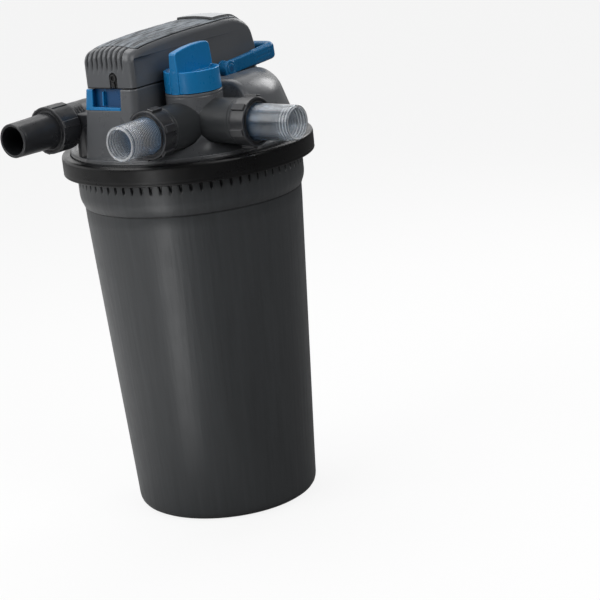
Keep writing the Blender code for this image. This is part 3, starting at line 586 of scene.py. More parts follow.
def hood_skin(pos):
    """Outer surface of the hood, taken as solid."""
    x, y, z = pos.T
    from_mid = x - HOOD_X
    across = np.abs(from_mid)
    cap, plate, upper, flute, scoop, _ = hood_marks(pos)
    roof_z, roof_slope = ROOF(y)
    back = np.clip((y - FRONT_Y) / 250.0, 0, 1)
    drop = (7.0 - 3.5 * back) * (np.minimum(across, 48) / 46.5) ** 2
    roof = (z - (roof_z - drop)) * roof_slope
    roof = roof - 3.4 * ease(-plate, -0.45, 0.45)     # raised plate on the rear
    rear_y, rear_slope = REAR(z)
    rear = (y - rear_y) * rear_slope
    profile = meet(wedge(roof, FRONT_Y - y, 14.0, 0.15), rear, 6.0)
    left, right = -x - 48.0, x - 45.0 + 0.010 * np.maximum(z - BLOCK_TOP, 0)
    solid = np.maximum(meet(left, profile, 6.5), meet(right, profile, 9.0))
    # textured cap: a groove along its edge, its face slightly sunk
    off_plate = ease(plate, 0.0, 1.0)
    solid = solid + upper * (1.5 * bell(cap, 0.9) * off_plate
                             + 0.4 * ease(-cap, 0.0, 1.2) * off_plate)
    on_cap = ease(-cap, 1.0, 4.0) * ease(plate, 1.0, 3.0) * upper
    solid = solid + 0.70 * cap_ripples(from_mid, y) * on_cap
    solid = solid + 2.5 * flute + 3.2 * scoop
    return np.maximum(solid, 668.1 + 0.9 * ease(x, 20.0, 36.0) - z)


def hood_field(pos):
    x, y, z = pos.T
    wall = 3.0
    skin = hood_skin(pos)
    body = np.maximum(skin, -(skin + wall))
    # open underside
    plan = meet(slab(x, -43.6, 38.4), slab(y, -148.5, 131.5), 8.0)
    solid = np.maximum(body, -meet(plan, z - 690.0, 4.0))
    # keyhole for the cable's gland
    key = np.minimum(np.hypot(x - 7.0, z - 683.5) - 7.6,
                     rect(x, z, -0.2, 14.2, 640.0, 683.5, 0.5))
    return cut(solid, np.maximum(key, y + 143.0), 0.7)


def build_hood():
    hood = put(sculpt("hood_shell", hood_field, (-49, -154, 666), (46, 137, 741), 1.0),
               "hood", "hood_plastic")
    pos = mesh_points(hood)
    x, y, z = pos.T
    cap, plate, upper, flute, _, shade = hood_marks(pos)
    off_plate = ease(plate, 0.0, 1.0)
    plate_front = bell(y - 49.6, 0.9) * (np.abs(x - HOOD_X) < 35.5) * (z > 720)
    # painted shade: dark lines in the cap's edge groove, at the plate's front step, in the
    # flutes' valleys and along the hood's lower edge over the block
    paint(hood, "groove", upper * bell(cap, 1.5) * off_plate + plate_front + 0.75 * flute
          + ease(669.7 - z, 0.0, 0.6))
    # painted shade in the side scoops
    paint(hood, "scoop", shade)
    paint(hood, "cap", upper * ease(-cap, 0.0, 1.2) * off_plate)
    paint(hood, "plate", ease(-plate, 0.4, 1.4) * (z > 715))


build_hood()


# ------------------------------------------------------------------ cable gland
def gland_field(pos):
    x, y, z = pos.T
    from_cable = np.hypot(x - 7.0, z - 683.0)
    head = rect(x, z, -0.5, 14.5, 668.2, 690.4)
    key = np.minimum(from_cable - 6.6, rect(x, z, 0.6, 13.4, 668.4, 683.0, 1.0))
    solid = meet(np.maximum(key, head), slab(y, -151.6, -145.0), 0.6)
    # ring round the hole, and a tongue below it
    ring = np.abs(from_cable - 4.6) - 1.1
    solid = union(solid, meet(ring, slab(y, -154.2, -150.0), 0.7), 0.6)
    solid = cut(solid, np.maximum(from_cable - 3.2, -148.8 - y), 0.3)
    tongue = rect(x, z, 4.4, 9.6, 669.2, 676.6, 1.6)
    return union(solid, meet(tongue, slab(y, -154.4, -150.0), 1.0), 0.8)


put(sculpt("cable_gland", gland_field, (-2, -155, 667), (16, -144, 692), 0.6),
    "cable_grommet", "rubber")


# ------------------------------------------------------------------ valve
def thread(x, y, z, depth):
    """Threaded surface about a frame's z axis."""
    turn = np.sin(2 * pi * z / THREAD_PITCH + np.arctan2(y, x))
    return np.hypot(x, y) - THREAD_RADIUS - depth * turn


def tower_field(pos):
    x, y, z = pos.T
    from_valve = np.hypot(x - VALVE_X, y - VALVE_Y)
    solid = rod(from_valve, 41.5, z, 598.4, 652.0, 1.1)
    solid = solid + 0.5 * bell(z - 647.6, 0.7)       # fine groove below the knob
    solid = np.minimum(solid, rod(from_valve, 33.6, z, 577.0, 600.0))
    for port in (FRONT, RIGHT):
        side, up, out = local(pos, port).T
        from_port = np.hypot(side, up)
        solid = np.minimum(solid, rod(from_port, 28.0, out, 20, 41.0))
        solid = cut(solid, rod(from_port, 20.5, out, 12, 130))
    solid = cut(solid, rod(from_valve, 30.0, z, 583.0, 644.5))
    solid = cut(solid, np.maximum(from_valve - 22.0, z - 590.0))
    return cut(solid, np.maximum(from_valve - 10.5, 640.0 - z))


def barrel_field(pos):
    """One outlet's barrel in its own frame: z runs out from the valve's axis."""
    x, y, z = pos.T
    radius = np.hypot(x, y)
    body = rod(radius, 33.0, z, 14.0, 86.0, 1.6)
    body = body + 0.55 * bell(z - 80.5, 0.8)
    screw = meet(thread(x, y, z, depth=0.55), slab(z, 80.0, 98.5), 0.8)
    solid = np.minimum(body, screw)
    solid = np.maximum(solid, -(radius - 20.5))
    return np.maximum(solid, 41.45 - np.hypot(z, x))     # clear of the tower


def knob_field(pos):
    """Valve knob about its own axis: x across the fin, y along it, z in world heights."""
    x, y, z = pos.T
    radius = np.hypot(x, y)
    foot, hollow, drum_top = 653.1, 37.5, 684.0
    side = radius - 41.3 + (z - 653.0) * 0.028
    top = z - drum_top + 4.2 * ease(38.6 - radius, 0.0, 7.5)
    drum = meet(side, top * 0.92, 1.3)
    drum = meet(drum, foot - z, 1.0)
    # hollow underneath, with a hub
    drum = cut(drum, rod(radius, hollow, z, 640.0, 676.0), 0.5)
    drum = np.minimum(drum, rod(radius, 13.0, z, 661.2, 680.0, 0.4))
    # grip fin
    fin_top = 718.3 - 0.0021 * (y - 18.0) ** 2
    half = 7.2 - 0.045 * np.maximum(z - drum_top, 0)
    ends = np.maximum(-y - 41.1 + np.maximum(z - 654.0, 0) * 0.035,
                      y - 40.7 + np.maximum(z - 690.0, 0) * 0.06)
    arch = wedge((z - fin_top) * 0.985, y - 40.7, 9.0, 0.0)
    near_arch = wedge((z - fin_top) * 0.97, -y - 41.1 + (z - 654.0) * 0.035, 3.5, 0.1)
    arch = np.where(y > 20, arch, near_arch)
    fin = meet(np.maximum(ends, arch), np.abs(x) - half, 1.7)
    fin = np.maximum(fin, foot - z)
    fin = cut(fin, np.maximum(radius - hollow, z - 676.0), 0.3)
    solid = np.maximum(union(drum, fin, 1.3), side + 0.15)
    # the fin's ends carry on down the drum between two fine grooves
    solid = solid + (1.1 * bell(np.abs(x) - 8.0, 0.75) * ease(np.abs(y), 36.0, 38.0)
                     * ease(686.5 - z, 0.0, 2.0))
    return cut(solid, np.maximum(radius - 7.4, z - 672.5))     # bore in the hub


TOWER_REACH = 43.0
put(sculpt("valve_tower", tower_field,
           (VALVE_X - TOWER_REACH, VALVE_Y - TOWER_REACH, 576),
           (VALVE_X + TOWER_REACH, VALVE_Y + TOWER_REACH, 653), 1.25),
    "valve_body", "lid_plastic")
for barrel in sculpt_pair(("front_outlet_barrel", "right_outlet_barrel"), barrel_field,
                          (-34, -34, 13), (34, 34, 99), 1.2):
    put(barrel, "valve_body", "fitting_plastic", replace=False)
put(sculpt("valve_hand_knob", knob_field, (-42, -43, 652), (42, 42, 719.5), 0.9,
           shift(VALVE_X, VALVE_Y, 0)), "valve_knob", "blue_plastic")


# ------------------------------------------------------------------ union nuts
def nut_field(length, start, lug_reach):
    """Nut with six lugs, starting at start along its frame's z axis."""
    def field(pos):
        x, y, z = pos.T
        along = z - start
        radius = np.hypot(x, y)
        solid = rod(radius, 35.0, along, 0.0, length, 1.5)
        # ring recess in the outer face
        recess = np.maximum(radius - 31.6, 28.4 - radius)
        solid = cut(solid, np.maximum(recess, length - 2.0 - along), 0.5)
        angle = (np.arctan2(y, x) - radians(15.0) + pi / 6) % (pi / 3) - pi / 6
        across, out = radius * np.sin(angle), radius * np.cos(angle)
        lug = meet(meet(np.abs(across) - 5.2, out - lug_reach - 0.15, 0.8),
                   slab(along, 2.2, length - 1.8), 0.9)
        solid = union(solid, lug, 0.7)
        solid = solid + 0.5 * bell(along - 1.6, 0.6)    # shallow groove behind the lugs
        bore = np.where(along < length - 6.2, 29.9, 27.35)
        return np.maximum(solid, bore - radius)
    return field


NUT_NODES = ("front_outlet_nut", "right_outlet_nut")
nuts = sculpt_pair([node + "_lugged" for node in NUT_NODES],
                   nut_field(NUT_LENGTH, NUT_START, lug_reach=38.0),
                   (-39, -39, NUT_START - 0.5), (39, 39, NUT_START + NUT_LENGTH + 0.5), 0.8)
for nut, node in zip(nuts, NUT_NODES):
    put(nut, node, "fitting_plastic")
put(sculpt("inlet_nut_lugged", nut_field(INLET_NUT_LENGTH, 0.0, lug_reach=36.0),
           (-37, -37, -0.5), (37, 37, INLET_NUT_LENGTH + 0.5), 0.85, INLET),
    "inlet_nut", "fitting_plastic")


# ------------------------------------------------------------------ inlet elbow
def elbow_field(pos):
    x, y, z = pos.T
    side, up, out = local(pos, INLET).T
    from_pipe = np.hypot(side, up)
    pipe = rod(from_pipe, 30.2, out, -90.0, -2.0, 7.0)
    for groove in (-9.0, -15.0, -21.0):
        pipe = pipe + 0.7 * bell(out - groove, 0.9)
    branch = rod(np.hypot(y + 108.0, z - INLET_Z), 29.0, x, -100.0, -40.0, 1.0)
    solid = union(pipe, branch, 5.0)
    web = box(pos, (-74.0, -154.5, 540.0), (-44.0, -72.0, 630.0), 2.5)
    web = web - 4.0 * ease(630.0 - z, 4.0, 60.0) * ease(-60.0 - x, 0.0, 10.0)
    solid = union(solid, web, 2.0)
    screw = meet(thread(side, up, out, depth=0.5), slab(out, -4.0, 20.5), 0.8)
    solid = np.minimum(solid, screw)
    # clear of the block and of the lid's skin
    solid = np.maximum(solid, -block_field(pos, grow=0.35, top=720.0))
    radius = np.hypot(x, y)
    low_z, low_slope = LOW(radius)
    solid = np.maximum(solid, -np.maximum((z - low_z - 0.7) * low_slope, radius - 250.0))
    solid = np.maximum(solid, np.where(radius > 175.0, 562.0 - z, -50.0))
    return cut(solid, np.maximum(from_pipe - 21.0, -78.0 - out), 0.8)


put(sculpt("inlet_elbow_body", elbow_field, (-131, -176, 560), (-40, -62, 643), 1.25),
    "inlet_elbow", "fitting_plastic")


# ------------------------------------------------------------------ latch
def latch_depth(y, z):
    """0 on the latch's front face, growing inwards."""
    return y - FRONT_Y + 13.0 * block_draft(z) + 1.0


def latch_field(pos):
    x, y, z = pos.T
    solid = block_field(pos, grow=1.0, top=666.7)
    bounds = np.maximum(np.maximum(x - 17.9, y + 140.2), 637.1 - z)
    solid = meet(solid, bounds, 0.7)
    depth = latch_depth(y, z)
    pocket = rect(x, z, -35.6, 60.0, 641.4, 720.0, 1.6)
    solid = cut(solid, np.maximum(pocket, depth - 8.5), 0.9)
    # upright rib in the pocket
    rib = rod(np.abs(x + 18.0), 0.9, z, 642.5, 663.0, 0.5)
    return union(solid, meet(meet(rib, -depth + 3.4, 0.5), depth - 10.0, 0.1), 0.4)


def build_latch():
    latch = put(sculpt("latch_button", latch_field, (-54, -160, 636), (19, -139, 667.5), 0.6),
                "release_latch", "blue_plastic")
    x, y, z = mesh_points(latch).T
    # painted shade inside the latch's pocket, leaving its rib pale
    paint(latch, "groove", ease(latch_depth(y, z), 1.2, 3.2) * (x > -36.0) * (z > 640.8)
          * (np.abs(x + 18.0) > 1.7))


build_latch()


# ------------------------------------------------------------------ lift handle and rods
def handle_field(pos):
    """The lift handle in its own frame: y runs from the pivots to the grip."""
    x, y, z = pos.T
    across, thick = np.abs(x), np.abs(z)
    grip = ease(y, 60.5, 63.5)
    outer = rect(across, y, -69.0, 69.0, -200.0, 122.9, 17.0)
    outer = outer - 1.2 * grip * ease(118.0 - y, 0, 6)
    inner = rect(across, y, -58.8, 58.8, -220.0, 108.6, 8.0)
    band = np.maximum(outer, -inner)
    band = np.maximum(band, -y - 3.0)
    half = 10.4 + 2.2 * grip + 0.4 * ease(y, 64.0, 100.0)
    # flutes round the grip's corners and back, spaced by the length run along the band
    corner_x, corner_y, corner_radius = 55.0, 108.9, 14.0
    theta = np.arctan2(np.maximum(y - corner_y, 0), np.maximum(across - corner_x, 1e-6))
    run = np.where(y < corner_y, y - corner_y, corner_radius * theta)
    run = np.where((across < corner_x) & (y >= corner_y),
                   corner_radius * pi / 2 + corner_x - across, run)
    fluted = ease(run, -16.0, -10.0) * ease(half - thick, 2.0, 4.5) * ease(-outer, 6.0, 2.0)
    band = band + 0.75 * fluted * (1 - np.abs(np.sin(pi * run / 3.9))) ** 1.3
    solid = meet(band, thick - half, 3.0 + 4.0 * grip)
    # long ridges on the grip's cheeks
    cheek = ease(y, 65.0, 69.0) * ease(108.0 - y, 0.0, 4.0) * ease(across, 64.0, 67.0)
    solid = solid + 0.5 * cheek * (1 - np.abs(np.sin(pi * (z + 1.0) / 6.4))) ** 1.2
    from_pin = np.hypot(y, z)
    eye = meet(from_pin - 11.9, np.abs(across - ROD_X) - 4.9, 1.0)
    return np.maximum(np.minimum(solid, eye), 4.3 - from_pin)


def clevis_field(pos):
    """Pull rod's head, in a frame at the pivot: x across, y rearwards, z up."""
    x, y, z = pos.T
    across, from_pin = np.abs(x), np.hypot(y, z)
    profile = union(from_pin - 12.6, rect(y, z, -11.6, 11.6, -21.6, 0.0, 1.0), 1.0)
    solid = meet(profile, across - 9.3, 1.6)
    # raised hub round the pin on each outer face
    solid = np.minimum(solid, meet(from_pin - 7.6, across - 9.95, 0.8))
    solid = solid + 0.5 * bell(from_pin - 8.4, 0.7) * ease(across, 7.0, 8.5)
    solid = cut(solid, np.maximum(across - 5.25, -12.7 - z), 0.6)
    solid = union(solid, meet(np.hypot(x, y) - 5.0, z + 16.0, 0.8), 1.2)
    solid = np.maximum(solid, 4.25 - from_pin)
    return np.maximum(solid, -30.0 - z)


put(sculpt("lift_handle", handle_field, (-71.5, -13, -13.6), (71.5, 124, 13.6), 0.95,
           shift(0, ROD_Y, PIVOT_Z) @ Matrix.Rotation(radians(4.5), 4, "X")),
    "bail_handle", "blue_plastic")

# radius, z: the shaft's outside
SHAFT = [(0.6, ROD_BOTTOM), (4.6, ROD_BOTTOM), (5.0, 49.0), (5.0, 634.4), (0.6, 634.4)]
for side_name, rod_x in (("left", -ROD_X), ("right", ROD_X)):
    rod_node = "pull_rod_" + side_name
    put(sculpt("rod_clevis_" + side_name, clevis_field, (-10.5, -13, -30.5), (10.5, 13, 13),
               0.65, shift(rod_x, ROD_Y, PIVOT_Z)), rod_node, "blue_plastic", replace=False)
    put(lathe("rod_shaft_" + side_name, dense(SHAFT, step=60), 32,
              place=shift(rod_x, ROD_Y, 0), closed=False), rod_node, "blue_plastic")


# ------------------------------------------------------------------ bucket
def wall_radius(z):
    """Tapered outer wall."""
    return 139.0 + 26.0 * (z - 12.0) / 468.0


def bucket_outline():
    """(radius, z) from the middle of the underside, up the outside and down the inside."""
    # foot
    outline = [(2.0, 0.0), (60, 0.0), (118, 0.0), (127, 0.2), (131.5, 1.2), (135.0, 3.4),
               (137.4, 6.6), (138.6, 10.0), (139.3, 14.0)]
    for k in range(1, 24):
        z = 14.0 + (478.0 - 14.0) * k / 24
        outline.append((wall_radius(z) + 0.1, z))
    # shoulder
    outline += [(164.6, 478.9), (164.3, 479.8), (164.3, 480.9), (165.0, 481.4),
                (166.0, 482.6), (167.0, 485.6), (168.3, 488.2), (169.3, 491.2),
                (170.0, 494.6), (170.4, 498.5)]
    # straight collar
    outline += [(170.5, 498.5 + (537.0 - 498.5) * k / 16) for k in range(1, 17)]
    # flange, then down the inside of the collar
    outline += [(171.5, 537.0), (183.0, 537.0), (RIM_RADIUS, 538.0), (RIM_RADIUS, 544.0),
                (183.2, 545.0), (170, 545.0), (165.0, 545.0), (164.6, 544.0),
                (164.8, 532.5), (164.8, 492.0), (163.5, 487.0), (161.0, 480.0)]
    outline += [(161.0 - (161.0 - 135.4) * k / 12, 480.0 - (480.0 - 16.0) * k / 12)
                for k in range(1, 13)]
    # inner floor
    outline += [(133.5, 10.6), (131.0, 7.6), (127.0, 6.2), (100, 6.0), (2.0, 6.0)]
    return outline


def bucket_bend(theta, radius, z):
    """Faint upright draw marks on the wall, and the narrow gusset slots under the flange."""
    outside = ((radius > 134.0) & (z > 11.0) & (z < 545.0)
               & (radius > wall_radius(z) - 1.5))
    fade = ease(z, 16, 60) * ease(478.0 - z, 0, 40)
    draw = ((0.5 + 0.5 * np.sin(36 * theta)) * 0.07
            + (0.5 + 0.5 * np.sin(9 * theta + 0.7)) * 0.10)
    radius = radius - np.where(outside & (z < 480.0), draw * fade, 0.0)
    # slots
    turn = (theta * SLOT_COUNT / (2 * pi) + 0.5) % 1.0 - 0.5
    arc = np.abs(turn) * (2 * pi / SLOT_COUNT) * 170.5
    half = 0.75 + 1.75 * np.clip((z - 516.5) / 14.5, 0, 1)
    slot = ease(half - arc, -0.7, 0.5) * ease(z, 515.0, 519.0)
    slotted = outside & (z > 512) & (z <= 537.0) & (radius < 171.2)
    return radius - np.where(slotted, 3.4 * slot, 0.0)


def build_bucket():
    bucket = put(lathe("bucket", bucket_outline(), SLOT_COUNT * 12, bucket_bend, closed=False,
                       angle=38), "container", "bucket_plastic")
    x, y, z = mesh_points(bucket).T
    radius = np.hypot(x, y)
    # painted shade inside the gusset slots and in the crease under the shoulder
    sunk = ease(170.2 - radius, 0.0, 2.2) * (z > 513.0) * (z < 537.5) * (radius > 166.0)
    paint(bucket, "groove", sunk + bell(z - 480.3, 1.1) * (radius > 163.0))


build_bucket()

# ------------------------------------------------------------------ tension ring
SPLIT = radians(131.0)            # angle of the ring's split
HALF_GAP = 3.0 / 182.0            # half the split's width over its radius
# radius, z of the ring's channel section, open inwards
RING = [(173.5, 531.6), (189.0, 531.4), (190.0, 532.6), (190.0, 541.0), (190.0, 549.0),
        (190.0, 556.2), (189.4, 558.8), (188.0, 560.5), (186.0, 561.0), (178.2, 561.0),
        (176.4, 560.2), (176.2, 556.4), (185.7, 555.7), (185.7, 536.5), (173.5, 536.5)]
# radius, z of the clamp's hand knob
HAND_KNOB = [(4.05, 12.0), (8.6, 12.0), (9.4, 12.6), (10.2, 14.4), (13.2, 14.9),
             (13.5, 15.6), (13.5, 23.6), (12.8, 25.2), (11.0, 26.0), (4.05, 26.0)]


def ring_bend(theta, radius, z):
    """Fine groove low on the outside."""
    return radius - np.where(radius > 188.5, 0.45 * bell(z - 535.6, 0.8), 0)


def ring_lug_field(pos):
    """Closure lugs beside the split; x outwards, y round, z up."""
    x, y, z = pos.T
    section = meet(slab(x, 186.5, 212.0), slab(z, 536.2, 555.8), 4.0)
    solid = meet(section, slab(np.abs(y), 3.5, 11.5), 0.9)
    return np.maximum(solid, 4.0 - np.hypot(x - CLAMP_BOLT_RADIUS, z - CLAMP_BOLT_Z))


def knob_lobes(theta, radius, z):
    return radius - np.where(radius > 11.0, 0.9 * (0.5 + 0.5 * np.cos(7 * theta)) ** 2, 0)


AT_SPLIT = Matrix.Rotation(SPLIT, 4, "Z")
put(lathe_arc("tension_ring", dense(RING, step=1.6, corner=0.5), SPLIT + HALF_GAP,
              SPLIT + 2 * pi - HALF_GAP, 220, ring_bend), "clamp_ring", "ring_plastic")
put(sculpt("tension_ring_lugs", ring_lug_field, (185, -12.5, 535), (213, 12.5, 557), 0.7,
           AT_SPLIT), "clamp_ring", "ring_plastic", replace=False)
put(lathe("hand_knob_lobed", dense(HAND_KNOB, step=0.9), 140, knob_lobes,
          AT_SPLIT @ frame_along(CLAMP_BOLT_RADIUS, 0, CLAMP_BOLT_Z, (0, 1, 0)), angle=40),
    "clamp_hand_knob", "fitting_plastic")


# ------------------------------------------------------------------ hose tails
def tail_outline(face, end, rib_depth=0.0, rib_pitch=3.0, bore_ribs=False):
    """(radius, z) of a hose tail: inner flange, outside, mouth, inside.
    face is the z of the nut's outer face, end that of the mouth."""
    outline = [(29.2, face - 10.5), (29.2, face - 6.6)]
    first = face - 6.4
    for z in np.arange(first, end - 4.2, rib_pitch / 8.0):
        wave = 0.5 - 0.5 * cos(2 * pi * (z - first) / rib_pitch)
        depth = rib_depth * min(1.0, max(0.0, (z - face - 0.5) / 1.5))
        radius = np.interp(z, [face - 6.5, (face + end) / 2, end], [26.7, 25.7, TAIL_MOUTH])
        outline.append((float(radius) - depth * (1.0 - wave ** 1.6), z))
    for k in range(6):          # thick rounded mouth
        angle = pi / 2 * k / 5
        outline.append((TAIL_MOUTH - 1.6 + 1.6 * cos(angle), end - 1.6 + 1.6 * sin(angle)))
    outline.append((TAIL_MOUTH - 2.2, end))
    for k in range(4):
        angle = pi / 2 + pi / 2 * k / 3
        outline.append((TAIL_BORE + 1.0 + 1.0 * cos(angle), end - 1.0 + 1.0 * sin(angle)))
    z = end - 2.2
    while z > face - 10.0:
        wave = 0.5 - 0.5 * cos(2 * pi * (end - 2.2 - z) / BORE_RIB_PITCH)
        depth = 1.2 - 1.1 * min(1.0, max(0.0, (end - z - 16.0) / 16.0))
        outline.append((TAIL_BORE + (depth * wave ** 1.4 if bore_ribs else 0.0), z))
        z -= BORE_RIB_PITCH / 10.0
    outline.append((TAIL_BORE, face - 10.5))
    return outline


def build_outlet_tail(outlet, place, end, rib_pitch, rib_depth, rib_mask):
    face = NUT_START + NUT_LENGTH
    outline = tail_outline(face, end, rib_depth, rib_pitch, bore_ribs=True)
    tail = put(lathe(outlet + "_hose_tail", outline, 120, None, place, angle=60),
               outlet + "_tail", "clear_plastic")
    x, y, z = local(mesh_points(tail), place).T
    outer = 0.5 - 0.5 * np.cos(2 * pi * (z - (face - 6.4)) / rib_pitch)
    inner = 0.5 - 0.5 * np.cos(2 * pi * (end - 2.2 - z) / BORE_RIB_PITCH)
    inner = inner * np.clip((32.0 - (end - z)) / 16.0, 0, 1)
    # painted highlight: the crests of the outer ribs and of the bore's ribs turn whiter and less
    # clear
    paint(tail, "ring", np.where(np.hypot(x, y) > 23.6, outer * rib_mask, inner))
    # painted blue reflection, fading away from the nut
    paint(tail, "painted_blue_reflection", ease(130.0 - z, -14.0, 18.0))


def inlet_bend(theta, radius, z):
    """Fine grip ridges over a sector of the tail, and a groove behind the mouth."""
    turn = np.abs((theta - radians(115.0) + pi) % (2 * pi) - pi)
    sector = ease(radians(34.0) - turn, 0, radians(6.0))
    ridged = sector * ease(z, 42, 46) * ease(100.0 - z, 0, 3)
    ridges = 0.45 * np.abs(np.sin(pi * z / 4.2)) ** 0.8 * ridged
    rim = 0.35 * bell(z - 103.2, 0.8)
    return radius - np.where(radius > 23.5, ridges + rim, 0)


build_outlet_tail("front_outlet", FRONT, VALVE_Y - FRONT_TAIL_Y,
                  rib_pitch=3.0, rib_depth=0.24, rib_mask=1.0)
build_outlet_tail("right_outlet", RIGHT, RIGHT_TAIL_X - VALVE_X,
                  rib_pitch=2.6, rib_depth=0.10, rib_mask=0.25)
put(lathe("inlet_hose_tail", tail_outline(INLET_NUT_LENGTH, 108.0), 132, inlet_bend, INLET,
          angle=45), "inlet_tail", "fitting_plastic")


# ------------------------------------------------------------------ foam sleeves
def foam_bend(seed):
    """Uneven cut surface, different for each sleeve."""
    phase = np.random.RandomState(seed).rand(9) * 2 * pi

    def bend(theta, radius, z):
        rough = (np.sin(37 * theta + 0.21 * z + phase[0])
                 + np.sin(61 * theta - 0.37 * z + phase[1])
                 + np.sin(23 * theta + 0.83 * z + phase[2])
                 + np.sin(90 * theta + 1.3 * z + phase[3])) * 0.16
        side = np.where(radius > 105, 1.0, -1.0)
        return radius + rough * side - side * 0.35
    return bend


def build_foam():
    pitch = (FOAM_TOP - FOAM_BOTTOM) / FOAM_COUNT
    for i in range(FOAM_COUNT):
        low = FOAM_BOTTOM + pitch * i + 0.1
        high = FOAM_BOTTOM + pitch * (i + 1) - 0.4
        outline = [(83.5, low), (127.0, low), (129.3, low + 1.6), (129.9, low + 4.5),
                   (129.9, high - 4.5), (129.3, high - 1.6), (127.0, high), (83.5, high),
                   (81.6, high - 1.4), (81.2, high - 4.0), (81.2, low + 4.0),
                   (81.6, low + 1.4)]
        sleeve = lathe("foam_sleeve_%d" % (i + 1), dense(outline, step=3.4), 180,
                       foam_bend(40 + i), angle=70)
        put(sleeve, "foam_ring_%d" % (i + 1), "foam_blue" if i % 2 == 0 else "foam_green")
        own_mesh(sleeve)


build_foam()


# ------------------------------------------------------------------ shader nodes
class Tree:
    """Node tree of a material or world. Values may be numbers, RGB tuples or sockets."""

    def __init__(self, owner):
        owner.use_nodes = True
        self.owner = owner
        self.tree = owner.node_tree
        self.principled = self.tree.nodes.get("Principled BSDF")
        self.coords = self.node("ShaderNodeTexCoord")

    def node(self, kind, **settings):
        node = self.tree.nodes.new(kind)
        for key, value in settings.items():
            setattr(node, key, value)
        return node

    def plug(self, socket, value):
        if isinstance(value, bpy.types.NodeSocket):
            self.tree.links.new(value, socket)
        elif isinstance(value, tuple):
            socket.default_value = (*value, 1.0)
        else:
            socket.default_value = value

    def surface(self, name, value):
        self.plug(self.principled.inputs[name], value)

    def noise(self, scale, detail=3.0, rough=0.5, stretch=None, distortion=0.0):
        noise = self.node("ShaderNodeTexNoise")
        noise.inputs["Scale"].default_value = scale
        noise.inputs["Detail"].default_value = detail
        noise.inputs["Roughness"].default_value = rough
        noise.inputs["Distortion"].default_value = distortion
        vector = self.coords.outputs["Object"]
        if stretch is not None:
            mapping = self.node("ShaderNodeMapping")
            mapping.inputs["Scale"].default_value = stretch
            self.plug(mapping.inputs["Vector"], vector)
            vector = mapping.outputs["Vector"]
        self.plug(noise.inputs["Vector"], vector)
        return noise.outputs["Fac"]

    def mask(self, name):
        return self.node("ShaderNodeAttribute", attribute_name=name).outputs["Fac"]

    def ramp(self, value, low, high, start=0.3, end=0.7, **settings):
        """Maps start..end to low..high."""
        node = self.node("ShaderNodeMapRange", **settings)
        for key, number in (("From Min", start), ("From Max", end),
                            ("To Min", low), ("To Max", high)):
            node.inputs[key].default_value = number
        self.plug(node.inputs["Value"], value)
        return node.outputs["Result"]

    def math(self, operation, a, b):
        node = self.node("ShaderNodeMath", operation=operation)
        self.plug(node.inputs[0], a)
        self.plug(node.inputs[1], b)
        return node.outputs[0]

    def vector(self, operation, a, b=None):
        node = self.node("ShaderNodeVectorMath", operation=operation)
        self.plug(node.inputs[0], a)
        if b is not None:
            self.plug(node.inputs[1], b)
        return node.outputs["Vector" if operation == "NORMALIZE" else "Value"]

    def mix(self, factor, a, b, **settings):
        node = self.node("ShaderNodeMix", data_type="RGBA", **settings)
        for index, value in ((0, factor), (6, a), (7, b)):
            self.plug(node.inputs[index], value)
        return node.outputs[2]

    def mix_shader(self, factor, a, b):
        node = self.node("ShaderNodeMixShader")
        for index, value in enumerate((factor, a, b)):
            self.plug(node.inputs[index], value)
        return node.outputs[0]

    def darken(self, colour, marks):
        """marks: (mask of painted shade, factor it multiplies the colour by)."""
        for name, factor in marks:
            colour = self.mix(self.mask(name), colour, factor, blend_type="MULTIPLY")
        return colour

    def bump(self, *heights):
        """heights: (socket, distance in metres), chained."""
        normal = None
        for height, distance in heights:
            node = self.node("ShaderNodeBump")
            node.inputs["Strength"].default_value = 1.0
            node.inputs["Distance"].default_value = distance
            self.plug(node.inputs["Height"], height)
            if normal is not None:
                self.plug(node.inputs["Normal"], normal)
            normal = node.outputs["Normal"]
        self.surface("Normal", normal)

    def edge_wear_and_highlight(self, amount):
        """Mask of convex edges, paled as wear and as painted highlight."""
        geometry = self.node("ShaderNodeNewGeometry")
        edge = self.ramp(geometry.outputs["Pointiness"], 0.0, 1.0, start=0.505, end=0.56)
        return self.math("MULTIPLY", edge, amount)


def new_material(name):
    return Tree(bpy.data.materials.new(name))


def linear(*rgb):
    """sRGB 0-255 to a linear array."""
    parts = [c / 255.0 for c in rgb]
    return np.array([c / 12.92 if c <= 0.04045 else ((c + 0.055) / 1.055) ** 2.4
                     for c in parts])


